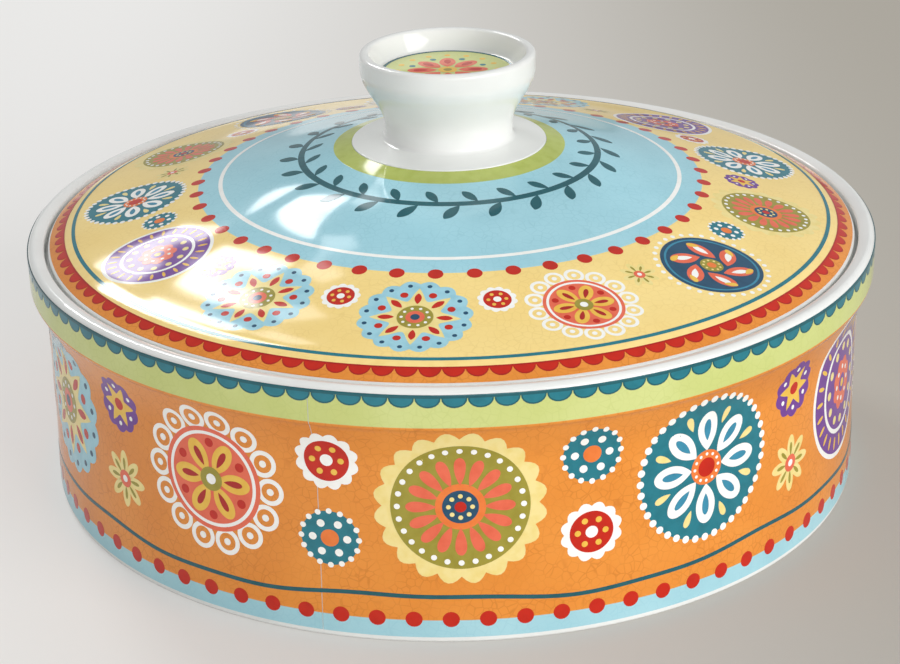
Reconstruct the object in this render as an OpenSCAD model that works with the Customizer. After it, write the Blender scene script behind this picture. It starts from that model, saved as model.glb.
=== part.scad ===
// Lidded ceramic tortilla warmer: a round dish with a collar, and a low domed lid
// that rests in a seat inside the rim and lifts off by a hollow knob.
// Millimetres. Z is up, and the origin is the centre of the circle that the dish stands on.
// Every piece is turned about Z. The printed bands are thin sheets fired onto the castings.

/* [Dish] */
// Outside diameter of the dish over its collar
dish_d = 260; // [230:1:300]
// Height of the dish from the table to its rim
dish_h = 78; // [66:1:100]
// Height of the straight collar, rim included
collar_h = 10.8; // [9:0.1:14]
// Height of the cove that leads from the wall out to the collar
cove_h = 13.5; // [8:0.5:20]
// How far the wall stands back from the collar
collar_step = 4.4; // [3:0.1:6]
// Rounding under the collar
collar_round = 1.6; // [1:0.1:2.4]
// Thickness of the wall
wall_t = 6.4; // [5:0.1:8]
// Thickness of the floor
floor_t = 6.5; // [5:0.1:9]
// How far the foot spreads past the wall
foot_spread = 0.7; // [0:0.1:2]
// Height at which the foot's spread begins
foot_spread_h = 26; // [16:1:34]
// Radius in the corner between floor and wall, inside
inner_corner_r = 14; // [6:1:22]

/* [Foot ring] */
// Width of the ring that touches the table
foot_ring_w = 8; // [5:0.5:14]
// Height of the hollow inside the foot ring
foot_ring_h = 2.5; // [1:0.5:4]
// Rounding on the outer edge of the foot
foot_round = 1.2; // [0.6:0.1:2]

/* [Rim and lid seat] */
// Width of the rim outside the lid seat
rim_w = 4.9; // [3.6:0.1:6]
// Depth of the lid seat below the rim
seat_depth = 4.8; // [3.4:0.1:6]
// How far the rim falls from its outer edge to the seat
rim_fall = 0.9; // [0.3:0.1:1.4]
// Rounding on the outer edge of the rim
rim_round = 1.8; // [0.6:0.1:2.2]

/* [Lid] */
// Gap between the lid's edge and the wall of the seat, on each side
lid_gap = 1.1; // [0.8:0.1:3]
// Height of the lid's edge where it meets the border band
lid_edge_h = 3.5; // [2.6:0.1:5]
// Rounding on the top of the lid's edge
lid_edge_round = 0.8; // [0.4:0.1:1.6]
// Width of the steeper border band
border_w = 7.5; // [5:0.5:12]
// Rise of the border band
border_rise = 3.7; // [2.6:0.1:5]
// Width of the rounded shoulder on each side of the band's inner edge
shoulder_w = 2; // [0.5:0.5:4]
// Rise of the dome from the shoulder to the knob
dome_rise = 22; // [16:0.5:32]
// How far the dome dips below a straight cone halfway up
dome_dip = 1; // [0:0.1:3]
// Thickness of the dome
lid_t = 5.5; // [4:0.1:8]
// Gap between the locating ring and the dish wall, on each side
locating_gap = 1.4; // [0.8:0.1:3]
// Thickness of the locating ring under the lid
locating_t = 4.6; // [3.5:0.1:7]
// Drop of the locating ring below the seat
locating_drop = 7; // [5:0.5:12]
// Diameter of the vent hole under the knob
vent_d = 6; // [4:0.5:9]

/* [Knob] */
// Diameter of the knob across its lip
knob_d = 53.6; // [46:0.2:64]
// Height of the knob above the dome
knob_h = 28.4; // [26:0.2:36]
// Diameter of the knob's neck
knob_neck_d = 39.2; // [32:0.2:42]
// Height of the neck's straight part above the foot
knob_neck_h = 2.7; // [0.5:0.1:6]
// Diameter of the knob's spread foot
knob_foot_d = 59.6; // [50:0.2:70]
// Thickness of the foot at its edge
knob_foot_edge = 0.5; // [0.3:0.1:1.5]
// Rise of the foot from its edge to the neck
knob_foot_rise = 1.3; // [0.8:0.1:2]
// Radius between the foot and the neck
knob_fillet_r = 1.6; // [0.8:0.1:2]
// Height of the straight side below the lip
knob_side_h = 3.4; // [2:0.1:5]
// Width of the rounded lip
knob_lip_w = 2.8; // [2.4:0.1:4]
// Depth of the recess in the top of the knob
knob_recess = 6.3; // [5:0.1:8]
// How far the recess narrows towards its floor
knob_recess_taper = 3; // [0.5:0.1:4]
// Thickness of the knob's wall
knob_wall_t = 4.2; // [3:0.1:5.4]
// Thickness of the recess floor
knob_floor_t = 4.5; // [3:0.1:6]

/* [Printed bands] */
// Thickness of a fired print
print_t = 0.2; // [0.1:0.05:0.4]
// Gap where the two ends of a side print meet
seam_gap = 0.4; // [0.2:0.1:1]
// Direction of that seam, seen from above and counted from +X
seam_direction = 252.8; // [0:0.1:359.9]
// Height at which the blue foot band begins
foot_band_low = 2; // [2:0.1:4]
// Height at which the blue foot band ends and the orange wall band begins
foot_band_top = 7.2; // [5:0.1:10]
// Bare glaze between the lid's edge rounding and its border print
border_inset = 0.2; // [0.1:0.1:1]
// Diameter of the blue centre of the lid
centre_d = 155; // [110:1:190]
// Bare glaze between the knob's foot and the centre print
centre_inset = 0.1; // [0.1:0.1:1.5]
// Bare glaze between the recess wall and the knob's print
knob_print_inset = 0.6; // [0.3:0.1:2]

/* [Hidden] */
$fn = 180;
arc_steps = 6;
dome_steps = 8;
knob_steps = 12;
collar_edge_angle = 55;

white_glaze = "#F2F1EC";
green_print = "#BCCB74";
orange_print = "#EE8F2F";
blue_print = "#9CD3E2";
yellow_print = "#F6CE6B";

// Radii of the dish
rim_r = dish_d / 2;
wall_r = rim_r - collar_step;
foot_r = wall_r + foot_spread;
inner_r = wall_r - wall_t;
foot_ring_r = foot_r - foot_round - foot_ring_w;
seat_r = rim_r - rim_w;

// Heights of the dish
seat_z = dish_h - seat_depth;
seat_lip_z = dish_h - rim_fall;
collar_z = dish_h - collar_h;
cove_top_z = collar_z - collar_round * sin(collar_edge_angle);
cove_low_z = cove_top_z - cove_h;
floor_z = foot_ring_h + floor_t;

// Lid
lid_r = seat_r - lid_gap;
locating_r = inner_r - locating_gap;
locating_in_r = locating_r - locating_t;
shoulder_r = lid_r - border_w;
border_slope = border_rise / border_w;
border_low_z = seat_z + lid_edge_h;
shoulder_z = border_low_z + border_rise;
knob_foot_r = knob_foot_d / 2;
dome_run = shoulder_r - knob_foot_r;
dome_slope = (dome_rise - 4 * dome_dip) / dome_run;
land_z = shoulder_z + dome_rise;
edge_tilt = atan(border_slope);
edge_in_r = lid_r - lid_edge_round * (1 - sin(edge_tilt));
border_print_r = edge_in_r - border_inset;
centre_r = centre_d / 2;
centre_in_r = knob_foot_r + centre_inset;

// Knob
knob_r = knob_d / 2;
neck_r = knob_neck_d / 2;
knob_top_z = land_z + knob_h;
knob_lip_r = knob_lip_w / 2;
side_top_z = knob_top_z - knob_lip_r;
side_low_z = side_top_z - knob_side_h;
foot_top_z = land_z + knob_foot_edge + knob_foot_rise;
neck_low_z = foot_top_z + knob_fillet_r;
swell_low_z = neck_low_z + knob_neck_h;
recess_z = knob_top_z - knob_recess;
recess_top_r = knob_r - knob_lip_w;
recess_r = recess_top_r - knob_recess_taper;
hollow_top_z = recess_z - knob_floor_t;
knob_print_r = recess_r - knob_print_inset;

// Points of an arc about [x, z], from angle a to angle b
function arc(x, z, r, a, b) =
    [for (i = [0:arc_steps]) let (t = a + (b - a) * i / arc_steps) [x + r * cos(t), z + r * sin(t)]];

// Outside of the wall, from the foot up to the collar
cove_out = collar_step - collar_round * (1 - cos(collar_edge_angle));
function cove_r(z) = wall_r + cove_out * (1 - cos(90 * (z - cove_low_z) / cove_h));
function spread_r(z) = wall_r + foot_spread * (foot_spread_h - z) / (foot_spread_h - foot_round);
cove_line = [for (i = [0:arc_steps]) let (z = cove_low_z + cove_h * i / arc_steps) [cove_r(z), z]];
collar_edge = [for (i = [1:arc_steps]) let (t = -collar_edge_angle * (1 - i / arc_steps))
    [rim_r - collar_round * (1 - cos(t)), collar_z + collar_round * sin(t)]];

// Top of the lid outside the knob: a sloping border, a rounded shoulder and a dome
function rise_share(r) = (shoulder_r - r) / dome_run;
function cone_z(r) = shoulder_z + dome_rise * rise_share(r)
    - 4 * dome_dip * rise_share(r) * (1 - rise_share(r));
function plain_z(r) = r > shoulder_r ? shoulder_z - border_slope * (r - shoulder_r) : cone_z(r);
function shoulder_cut(r) = let (near = max(0, shoulder_w - abs(r - shoulder_r)))
    (border_slope - dome_slope) * near * near / (4 * shoulder_w);
function lid_z(r) = plain_z(r) - shoulder_cut(r);
function lid_line(a, b, steps) = [for (i = [0:steps]) let (r = a + (b - a) * i / steps) [r, lid_z(r)]];

border_line = lid_line(border_print_r, shoulder_r, dome_steps);
field_line = lid_line(shoulder_r, centre_r, dome_steps);
centre_line = lid_line(centre_r, centre_in_r, dome_steps);
under_line = [for (i = [0:dome_steps]) let (r = knob_foot_r + (locating_in_r - knob_foot_r) * i / dome_steps)
    [r, lid_z(r) - lid_t]];

// Outside of the knob's bowl, which swells from the neck to the straight side
function swell(t) = neck_r + (knob_r - neck_r) * (3 * t * t - 2 * t * t * t);
bowl_line = [for (i = [0:knob_steps]) let (t = i / knob_steps)
    [swell(t), swell_low_z + (side_low_z - swell_low_z) * t]];
function bowl_r(z) = swell(min(1, max(0, (z - swell_low_z) / (side_low_z - swell_low_z))));

// All of the list but its first point
function rest(line) = [for (i = [1:len(line) - 1]) line[i]];
function raised(line, up) = [for (p = line) [p[0], p[1] + up]];
function spread_out(line, out) = [for (p = line) [p[0] + out, p[1]]];
function reversed(line) = [for (i = [len(line) - 1:-1:0]) line[i]];

// A thin sheet wrapped round the side, open at the seam
module side_sheet(line) {
    seam_angle = 360 * seam_gap / (2 * PI * rim_r);
    rotate([0, 0, seam_direction + seam_angle / 2])
        rotate_extrude(angle = 360 - seam_angle)
            polygon(concat(line, reversed(spread_out(line, print_t))));
}

// A thin sheet laid on the lid
module lid_sheet(line) {
    rotate_extrude()
        polygon(concat(line, reversed(raised(line, print_t))));
}

module dish() {
    color(white_glaze)
        rotate_extrude()
            polygon(concat(
                [[0, foot_ring_h], [foot_ring_r - foot_ring_h, foot_ring_h], [foot_ring_r, 0]],
                arc(foot_r - foot_round, foot_round, foot_round, -90, 0),
                [[wall_r, foot_spread_h]],
                cove_line,
                collar_edge,
                arc(rim_r - rim_round, dish_h - rim_round, rim_round, 0, 90),
                [[seat_r, seat_lip_z], [seat_r, seat_z], [inner_r, seat_z]],
                arc(inner_r - inner_corner_r, floor_z + inner_corner_r, inner_corner_r, 0, -90),
                [[0, floor_z]]
            ));
}

module collar_print() {
    color(green_print)
        side_sheet([[rim_r, collar_z], [rim_r, dish_h - rim_round]]);
}

module wall_print() {
    color(orange_print)
        side_sheet(concat(
            [[spread_r(foot_band_top), foot_band_top], [wall_r, foot_spread_h]],
            cove_line,
            collar_edge
        ));
}

module foot_print() {
    color(blue_print)
        side_sheet([
            [spread_r(foot_band_low), foot_band_low],
            [spread_r(foot_band_top), foot_band_top]
        ]);
}

module lid() {
    color(white_glaze)
        difference() {
            rotate_extrude()
                polygon(concat(
                    [[0, land_z - lid_t]],
                    under_line,
                    [[locating_in_r, seat_z - locating_drop], [locating_r, seat_z - locating_drop]],
                    [[locating_r, seat_z], [lid_r, seat_z]],
                    arc(lid_r - lid_edge_round, lid_z(edge_in_r) - lid_edge_round * cos(edge_tilt),
                        lid_edge_round, 0, 90 - edge_tilt),
                    border_line,
                    rest(field_line),
                    rest(centre_line),
                    [[knob_foot_r, land_z], [0, land_z]]
                ));
            translate([0, 0, land_z - lid_t - 1])
                cylinder(h = lid_t + 2, d = vent_d);
        }
}

module knob() {
    color(white_glaze)
        rotate_extrude()
            polygon(concat(
                [[bowl_r(land_z) - knob_wall_t, land_z], [knob_foot_r, land_z]],
                [[knob_foot_r, land_z + knob_foot_edge]],
                arc(neck_r + knob_fillet_r, neck_low_z, knob_fillet_r, 270, 180),
                bowl_line,
                arc(knob_r - knob_lip_r, side_top_z, knob_lip_r, 0, 180),
                [[recess_r, recess_z], [0, recess_z], [0, hollow_top_z]],
                [[bowl_r(hollow_top_z) - knob_wall_t, hollow_top_z]],
                [for (p = reversed(bowl_line)) if (p[1] < hollow_top_z) [p[0] - knob_wall_t, p[1]]]
            ));
}

module lid_border_print() {
    color(orange_print)
        lid_sheet(border_line);
}

module lid_field_print() {
    color(yellow_print)
        lid_sheet(field_line);
}

module lid_centre_print() {
    color(blue_print)
        lid_sheet(centre_line);
}

module knob_print() {
    color(green_print)
        translate([0, 0, recess_z])
            cylinder(h = print_t, r = knob_print_r);
}

dish();
collar_print();
wall_print();
foot_print();
lid();
knob();
lid_border_print();
lid_field_print();
lid_centre_print();
knob_print();
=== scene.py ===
# %% [markdown]
# # A printed ceramic tortilla warmer
# The object is two pieces of glazed pottery: a round dish with a collar, and a low domed lid with a
# hollow knob. Everything on it was turned or cast round one axis, and the colours are printed
# transfers that were fired onto the white glaze. So this lesson turns outlines into bodies, draws the
# ornament flat, and then lays it on the curved surfaces.

# %% Load the frame
import math

import bmesh
import bpy
import numpy as np
from mathutils import Matrix, Vector


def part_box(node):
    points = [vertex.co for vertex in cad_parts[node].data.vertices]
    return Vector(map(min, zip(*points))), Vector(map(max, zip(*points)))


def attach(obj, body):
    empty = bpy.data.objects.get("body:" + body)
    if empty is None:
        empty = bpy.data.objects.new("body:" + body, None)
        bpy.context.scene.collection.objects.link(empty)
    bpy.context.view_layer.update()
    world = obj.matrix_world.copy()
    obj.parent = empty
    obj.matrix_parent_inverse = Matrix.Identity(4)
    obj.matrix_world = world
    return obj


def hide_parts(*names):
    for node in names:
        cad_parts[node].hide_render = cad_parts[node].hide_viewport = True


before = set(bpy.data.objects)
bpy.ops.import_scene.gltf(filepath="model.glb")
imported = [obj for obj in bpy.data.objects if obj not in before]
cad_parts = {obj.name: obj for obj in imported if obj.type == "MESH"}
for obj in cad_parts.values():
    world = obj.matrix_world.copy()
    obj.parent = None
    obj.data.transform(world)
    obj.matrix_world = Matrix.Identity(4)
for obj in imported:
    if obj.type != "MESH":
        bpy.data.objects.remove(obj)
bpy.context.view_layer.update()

scene = bpy.context.scene
MM = 0.001
print("CAD nodes:", ", ".join(sorted(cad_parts)))

# %% [markdown]
# ## The camera
# A photograph of a round object gives its own viewpoint away: the rim, the foot and the bands are
# circles, and how flat each one looks says how far and how high the camera stood. It stood about
# two thirds of a metre off, a third of a metre up, with a longish lens and a slight lean.

# %% Place the camera
IMAGE_W = 900
FOCAL_PX = 2276
STAND_BACK = 664 * MM
EYE_HEIGHT = 326 * MM
PAN, TILT, LEAN = math.radians(-0.08), math.radians(23.44), math.radians(-1.17)

look = Vector((math.sin(PAN) * math.cos(TILT), math.cos(PAN) * math.cos(TILT), -math.sin(TILT)))
level_right = look.cross(Vector((0, 0, 1))).normalized()
level_up = level_right.cross(look)
cam_right = math.cos(LEAN) * level_right + math.sin(LEAN) * level_up
cam_up = math.cos(LEAN) * level_up - math.sin(LEAN) * level_right
camera_data = bpy.data.cameras.new("camera")
camera_data.sensor_fit = "HORIZONTAL"
camera_data.sensor_width = 36
camera_data.lens = camera_data.sensor_width * FOCAL_PX / IMAGE_W
camera = bpy.data.objects.new("camera", camera_data)
turned = Matrix((cam_right, cam_up, -look)).transposed().to_4x4()
camera.matrix_world = Matrix.Translation((0, -STAND_BACK, EYE_HEIGHT)) @ turned
scene.collection.objects.link(camera)
scene.camera = camera
print(f"Lens {camera_data.lens:.1f} mm")

# %% [markdown]
# ## Three small helpers
# Colours are written as they look on a screen, and a shader works with linear light, so one function
# turns the one into the other. The next adds a node to any node tree, with its settings and links, and
# the last starts an empty material.

# %% Colour and node helpers
def to_linear(hex_colour):
    """An sRGB colour such as "#F2F1EC" as linear RGBA."""
    parts = [int(hex_colour[i:i + 2], 16) / 255 for i in (1, 3, 5)]
    return [p / 12.92 if p <= 0.04045 else ((p + 0.055) / 1.055) ** 2.4 for p in parts] + [1.0]


def add(tree, kind, inputs=None, **settings):
    """Adds a node. An input may be a value, a socket, or a node, which means its first output."""
    node = tree.nodes.new(kind)
    for name, value in settings.items():
        setattr(node, name, value)
    for key, value in (inputs or {}).items():
        if isinstance(value, bpy.types.Node):
            value = value.outputs[0]
        if isinstance(value, bpy.types.NodeSocket):
            tree.links.new(value, node.inputs[key])
        else:
            node.inputs[key].default_value = value
    return node


def new_shader(name):
    """An empty material, its node tree and its Object coordinates."""
    material = bpy.data.materials.new(name)
    material.use_nodes = True
    tree = material.node_tree
    tree.nodes.clear()
    coords = add(tree, "ShaderNodeTexCoord").outputs["Object"]
    return material, tree, coords


# %% [markdown]
# ## The glaze
# The body is white earthenware under a clear, glossy glaze. A glaze is a glass, so its IOR is about
# 1.5, and it is smooth but never quite flat: it ripples by a few hundredths of a millimetre, which
# is what bends the reflections. Fired colour is never quite even either, so a finish passes between
# two close tones in clouds. Both are functions, because every colour on the ware needs them.

# %% Glaze, clouds and white ware
GLAZE_IOR = 1.5
GLAZE_ROUGHNESS = 0.07
RIPPLE_SIZE = 24 * MM
RIPPLE_HEIGHT = 0.05 * MM
CLOUD_SIZE = 26 * MM


def finish_glaze(tree, coords, colour):
    """The clear glaze over a colour: glossy, with a slow ripple."""
    ripple = add(tree, "ShaderNodeTexNoise", {"Vector": coords, "Scale": 1 / RIPPLE_SIZE, "Detail": 1.5})
    bump = add(tree, "ShaderNodeBump", {"Height": ripple, "Strength": 0.5, "Distance": RIPPLE_HEIGHT})
    shader = add(tree, "ShaderNodeBsdfPrincipled", {
        "Base Color": colour, "Roughness": GLAZE_ROUGHNESS, "IOR": GLAZE_IOR, "Normal": bump})
    add(tree, "ShaderNodeOutputMaterial", {"Surface": shader})


def two_tones(tree, coords, first_tone, second_tone, size, detail, low, high):
    """Clouds of one size, in which a tone passes into another between two levels of a noise."""
    cloud = add(tree, "ShaderNodeTexNoise", {"Vector": coords, "Scale": 1 / size, "Detail": detail})
    share = add(tree, "ShaderNodeMapRange", {"Value": cloud, "From Min": low, "From Max": high})
    mixed = add(tree, "ShaderNodeMix", {0: share, 6: to_linear(first_tone), 7: to_linear(second_tone)},
                data_type="RGBA")
    return mixed.outputs[2]


def clear_glaze_on_white(name, light, shade):
    """White earthenware dipped in clear glaze: a plain white, a little greyer in slow clouds."""
    material, tree, coords = new_shader(name)
    tone = two_tones(tree, coords, light, shade, size=CLOUD_SIZE, detail=3, low=0.35, high=0.7)
    finish_glaze(tree, coords, tone)
    return material


white_glaze = clear_glaze_on_white("clear_glaze_on_white_earthenware", "#F0F1EE", "#E8E9E6")
print("Made", white_glaze.name)

# %% [markdown]
# ## Bare clay
# The dish and the lid's ring are wiped free of glaze where they stood in the kiln. The fired clay there
# is a warm stone colour, matt and grainy like fine sandpaper, so it has no gloss and a fine bump.

# %% Bare clay
GRAIN_SIZE = 1.1 * MM
GRAIN_HEIGHT = 0.1 * MM
CLAY_ROUGHNESS = 0.82


def bare_clay(name, light, shade):
    """Fired clay with no glaze: matt and grainy."""
    material, tree, coords = new_shader(name)
    grain = add(tree, "ShaderNodeTexNoise", {"Vector": coords, "Scale": 1 / GRAIN_SIZE, "Detail": 6})
    colour = add(tree, "ShaderNodeMix", {0: grain, 6: to_linear(light), 7: to_linear(shade)},
                 data_type="RGBA")
    bump = add(tree, "ShaderNodeBump", {"Height": grain, "Strength": 0.6, "Distance": GRAIN_HEIGHT})
    shader = add(tree, "ShaderNodeBsdfPrincipled", {
        "Base Color": colour.outputs[2], "Roughness": CLAY_ROUGHNESS, "Normal": bump})
    add(tree, "ShaderNodeOutputMaterial", {"Surface": shader})
    return material


foot_clay = bare_clay("bare_fired_clay", "#E9E1D2", "#CFC3AE")
print("Made", foot_clay.name)

# %% [markdown]
# ## Crackled grounds
# The printed grounds imitate an old crackled glaze: cells of about two and a half millimetres, with
# thin lines a little darker than the ground. Voronoi cells give such a net. One noise bends their
# straight sides and another lets the lines fade in places, because a real crackle is never complete.

# %% The printed grounds
CRACKLE_CELL = 2.4 * MM
CRACKLE_WANDER = 1.0 * MM
CRACKLE_LINE = 0.08


def crackled_ground(name, colour, cloud_colour, line_colour, line_strength):
    """A printed ground under glaze, clouded like a hand-laid wash, with a printed crackle."""
    material, tree, coords = new_shader(name)
    wash = two_tones(tree, coords, colour, cloud_colour, size=CLOUD_SIZE, detail=4, low=0.36, high=0.66)
    bend = add(tree, "ShaderNodeTexNoise", {"Vector": coords, "Scale": 1 / (2 * CRACKLE_CELL), "Detail": 2})
    bent = add(tree, "ShaderNodeVectorMath", {
        0: bend.outputs["Color"], 1: (CRACKLE_WANDER,) * 3, 2: coords}, operation="MULTIPLY_ADD")
    cells = add(tree, "ShaderNodeTexVoronoi", {"Vector": bent, "Scale": 1 / CRACKLE_CELL},
                feature="DISTANCE_TO_EDGE")
    line = add(tree, "ShaderNodeMapRange", {
        "Value": cells, "From Min": 0.0, "From Max": CRACKLE_LINE, "To Min": line_strength, "To Max": 0.0})
    fade = add(tree, "ShaderNodeTexNoise", {"Vector": coords, "Scale": 1 / (3 * CRACKLE_CELL), "Detail": 2})
    fade_share = add(tree, "ShaderNodeMapRange", {
        "Value": fade, "From Min": 0.38, "From Max": 0.62, "To Min": 0.3, "To Max": 1.0})
    seen = add(tree, "ShaderNodeMath", {0: line, 1: fade_share}, operation="MULTIPLY")
    lined = add(tree, "ShaderNodeMix", {0: seen, 6: wash, 7: to_linear(line_colour)}, data_type="RGBA")
    finish_glaze(tree, coords, lined.outputs[2])
    return material


# Each ground: its wash, the clouds in the wash, the crackle's lines, and how strong the lines are
GROUND_TONES = {
    "orange": ("#EC963D", "#E58D34", "#C0671A", 0.45),
    "green": ("#D3DA8E", "#CAD27F", "#A9B65C", 0.2),
    "blue": ("#AADCE8", "#A0D4E1", "#79B2C0", 0.24),
    "sky_blue": ("#ABD9E3", "#9FD0DC", "#86BECF", 0.25),
    "yellow": ("#FFE394", "#FBDC8A", "#CDA652", 0.19)}
grounds = {name: crackled_ground(f"{name}_ground_under_glaze", *tones)
           for name, tones in GROUND_TONES.items()}
print("Grounds:", ", ".join(grounds))

# %% [markdown]
# ## Screened inks
# The ornament is printed in flat colours through a screen, which lays the ink a little unevenly, in
# fine mottles. So each ink has a full tone and a slightly thinner one, under the same clear glaze.

# %% The inks
MOTTLE_SIZE = 3 * GRAIN_SIZE


def screened_ink(name, colour, thin_colour):
    """A flat screen-printed colour under glaze, with fine mottles."""
    material, tree, coords = new_shader(name)
    laid = two_tones(tree, coords, colour, thin_colour, size=MOTTLE_SIZE, detail=3, low=0.42, high=0.72)
    finish_glaze(tree, coords, laid)
    return material


INK_TONES = {
    "white": ("#FDFDF9", "#F8F7F1"), "cream": ("#F6E39A", "#F0D984"), "straw": ("#FFE294", "#FADA8A"),
    "yellow": ("#F3C653", "#EDBA44"), "orange": ("#F0813C", "#E97833"), "coral": ("#EC6F52", "#E46548"),
    "red": ("#C8230F", "#BE1F0D"), "dark_red": ("#B01C18", "#A51A16"), "teal": ("#247B8A", "#1F717F"),
    "light_teal": ("#3C8FAE", "#34839F"), "dark_teal": ("#1F6069", "#1A5761"),
    "navy": ("#22506E", "#1D4863"), "purple": ("#743F99", "#6C3891"), "olive": ("#A2973A", "#988D30"),
    "green": ("#B9C566", "#AFBB59"), "blue": ("#A3D6E4", "#94CADA")}
inks = {name: screened_ink(f"{name}_ink_under_glaze", *tones) for name, tones in INK_TONES.items()}
print(f"{len(bpy.data.materials)} materials")

# %% [markdown]
# ## The overall sizes
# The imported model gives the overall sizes, so they are read from its boxes. All of them are in
# millimetres up to the last moment, as on a potter's drawing.

# %% Read the frame
def corner(node, high, axis):
    """One coordinate of a node's box, in millimetres."""
    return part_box(node)[1 if high else 0][axis] / MM


rim_r = corner("dish", True, 0)
dish_h = corner("dish", True, 2)
knob_top_z = corner("knob", True, 2)
land_z = corner("knob", False, 2)
knob_foot_r = corner("knob", True, 0)
lid_r = corner("lid", True, 0)
locating_low_z = corner("lid", False, 2)
collar_z = corner("collar_print", False, 2)
foot_band_low = corner("foot_print", False, 2)
foot_band_top = corner("wall_print", False, 2)
centre_r = corner("lid_centre_print", True, 0)
recess_z = corner("knob_print", False, 2)
knob_print_r = corner("knob_print", True, 0)
print(f"Dish {2 * rim_r:.1f} mm across and {dish_h:.1f} mm high; knob top at {knob_top_z:.1f} mm")

# %% [markdown]
# ## The sizes of the moulds
# The smaller sizes are the ones that the potter's moulds would have. No box shows them, so they stand
# here by name: first the dish's, then the lid's and the knob's.

# %% Name the smaller sizes
COLLAR_STEP, COLLAR_ROUND, COLLAR_EDGE_ANGLE = 4.4, 1.6, math.radians(55)
COVE_H = 13.5
FOOT_SPREAD, FOOT_SPREAD_H, FOOT_ROUND = 0.7, 26, 1.2
FOOT_RING_W, FOOT_RING_H = 8, 2.5
WALL_T, FLOOR_T, INNER_CORNER_R = 6.4, 6.5, 14
RIM_W, RIM_FALL, RIM_ROUND, SEAT_DEPTH = 4.9, 0.9, 1.8, 4.8
LID_EDGE_H, LID_EDGE_ROUND, BORDER_W, BORDER_RISE, SHOULDER_W = 3.5, 0.8, 7.5, 3.7, 2
DOME_DIP, LID_T = 1, 5.5
LOCATING_GAP, LOCATING_T, VENT_D = 1.4, 4.6, 6
NECK_D, NECK_H, KNOB_D, KNOB_LIP_W, KNOB_SIDE_H = 39.2, 2.7, 53.6, 2.8, 3.4
KNOB_FOOT_EDGE, KNOB_FOOT_RISE, KNOB_FILLET_R = 0.5, 1.3, 1.6
RECESS_TAPER, KNOB_WALL_T, KNOB_FLOOR_T = 3, 4.2, 4.5
PRINT_T = 0.2
BORDER_INSET = 0.2
CENTRE_INSET = 0.1
print(f"Wall {WALL_T} mm and floor {FLOOR_T} mm thick")

# %% [markdown]
# ## Radii and heights
# An outline needs radii from the axis and heights above the floor, so the sizes are added up to those
# once, here.

# %% Add the sizes up
wall_r = rim_r - COLLAR_STEP
foot_r = wall_r + FOOT_SPREAD
inner_r = wall_r - WALL_T
foot_ring_r = foot_r - FOOT_ROUND - FOOT_RING_W
seat_r = rim_r - RIM_W
seat_z = dish_h - SEAT_DEPTH
cove_top_z = collar_z - COLLAR_ROUND * math.sin(COLLAR_EDGE_ANGLE)
cove_low_z = cove_top_z - COVE_H
cove_out = COLLAR_STEP - COLLAR_ROUND * (1 - math.cos(COLLAR_EDGE_ANGLE))
floor_z = FOOT_RING_H + FLOOR_T
shoulder_r = lid_r - BORDER_W
border_slope = BORDER_RISE / BORDER_W
shoulder_z = seat_z + LID_EDGE_H + BORDER_RISE
dome_rise = land_z - shoulder_z
dome_run = shoulder_r - knob_foot_r
dome_slope = (dome_rise - 4 * DOME_DIP) / dome_run
edge_tilt = math.atan(border_slope)
edge_in_r = lid_r - LID_EDGE_ROUND * (1 - math.sin(edge_tilt))
border_print_r = edge_in_r - BORDER_INSET
centre_in_r = knob_foot_r + CENTRE_INSET
locating_r = inner_r - LOCATING_GAP
locating_in_r = locating_r - LOCATING_T
knob_r = KNOB_D / 2
neck_r = NECK_D / 2
side_top_z = knob_top_z - KNOB_LIP_W / 2
side_low_z = side_top_z - KNOB_SIDE_H
neck_low_z = land_z + KNOB_FOOT_EDGE + KNOB_FOOT_RISE + KNOB_FILLET_R
swell_low_z = neck_low_z + NECK_H
recess_top_r = knob_r - KNOB_LIP_W
recess_r = recess_top_r - RECESS_TAPER
hollow_top_z = recess_z - KNOB_FLOOR_T
print(f"Inside radius {inner_r:.1f} mm, seat at {seat_z:.1f} mm, lid's shoulder at {shoulder_z:.1f} mm")

# %% [markdown]
# ## Outlines
# A plate, a bowl or a lid made on a wheel is one outline swept round an axis. An outline here is a list
# of corners, each with the radius that the glaze and the sponge gave it, so one function rounds the
# corners and divides the long stretches, because even, short steps shade evenly.

# %% Outline helpers
LONGEST_STEP = 3.6
CORNER_STEPS = 7
# Points closer than this, in millimetres, are one point
SAME_PLACE = 1e-4


def soften(corners, closed=False):
    """Rounds each corner (radius from axis, height, rounding), and divides the straight stretches."""
    line = []
    total = len(corners)
    for i, (r, z, rounding) in enumerate(corners):
        here = Vector((r, z))
        if not rounding or (not closed and i in (0, total - 1)):
            line.append(here)
            continue
        before = (Vector(corners[i - 1][:2]) - here).normalized()
        after = (Vector(corners[(i + 1) % total][:2]) - here).normalized()
        half = before.angle(after) / 2
        centre = here + (before + after).normalized() * rounding / math.sin(half)
        first = here + before * rounding / math.tan(half) - centre
        last = here + after * rounding / math.tan(half) - centre
        for step in range(CORNER_STEPS + 1):
            share = step / CORNER_STEPS
            turn = first.angle(last)
            point = (first * math.sin((1 - share) * turn) + last * math.sin(share * turn)) / math.sin(turn)
            line.append(centre + point)
    ring = line + line[:1] if closed else line
    fine = [ring[0]]
    for start, end in zip(ring, ring[1:]):
        steps = max(1, math.ceil((end - start).length / LONGEST_STEP))
        fine += [start.lerp(end, k / steps) for k in range(1, steps + 1)]
    return [p for i, p in enumerate(fine) if i == 0 or (p - fine[i - 1]).length > SAME_PLACE]


def along(formula, start, end, steps, by_height=False):
    """Points of a curved stretch, from a formula that gives height by radius, or radius by height."""
    places = [start + (end - start) * i / steps for i in range(steps + 1)]
    return [(formula(p), p, 0) if by_height else (p, formula(p), 0) for p in places]


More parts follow.
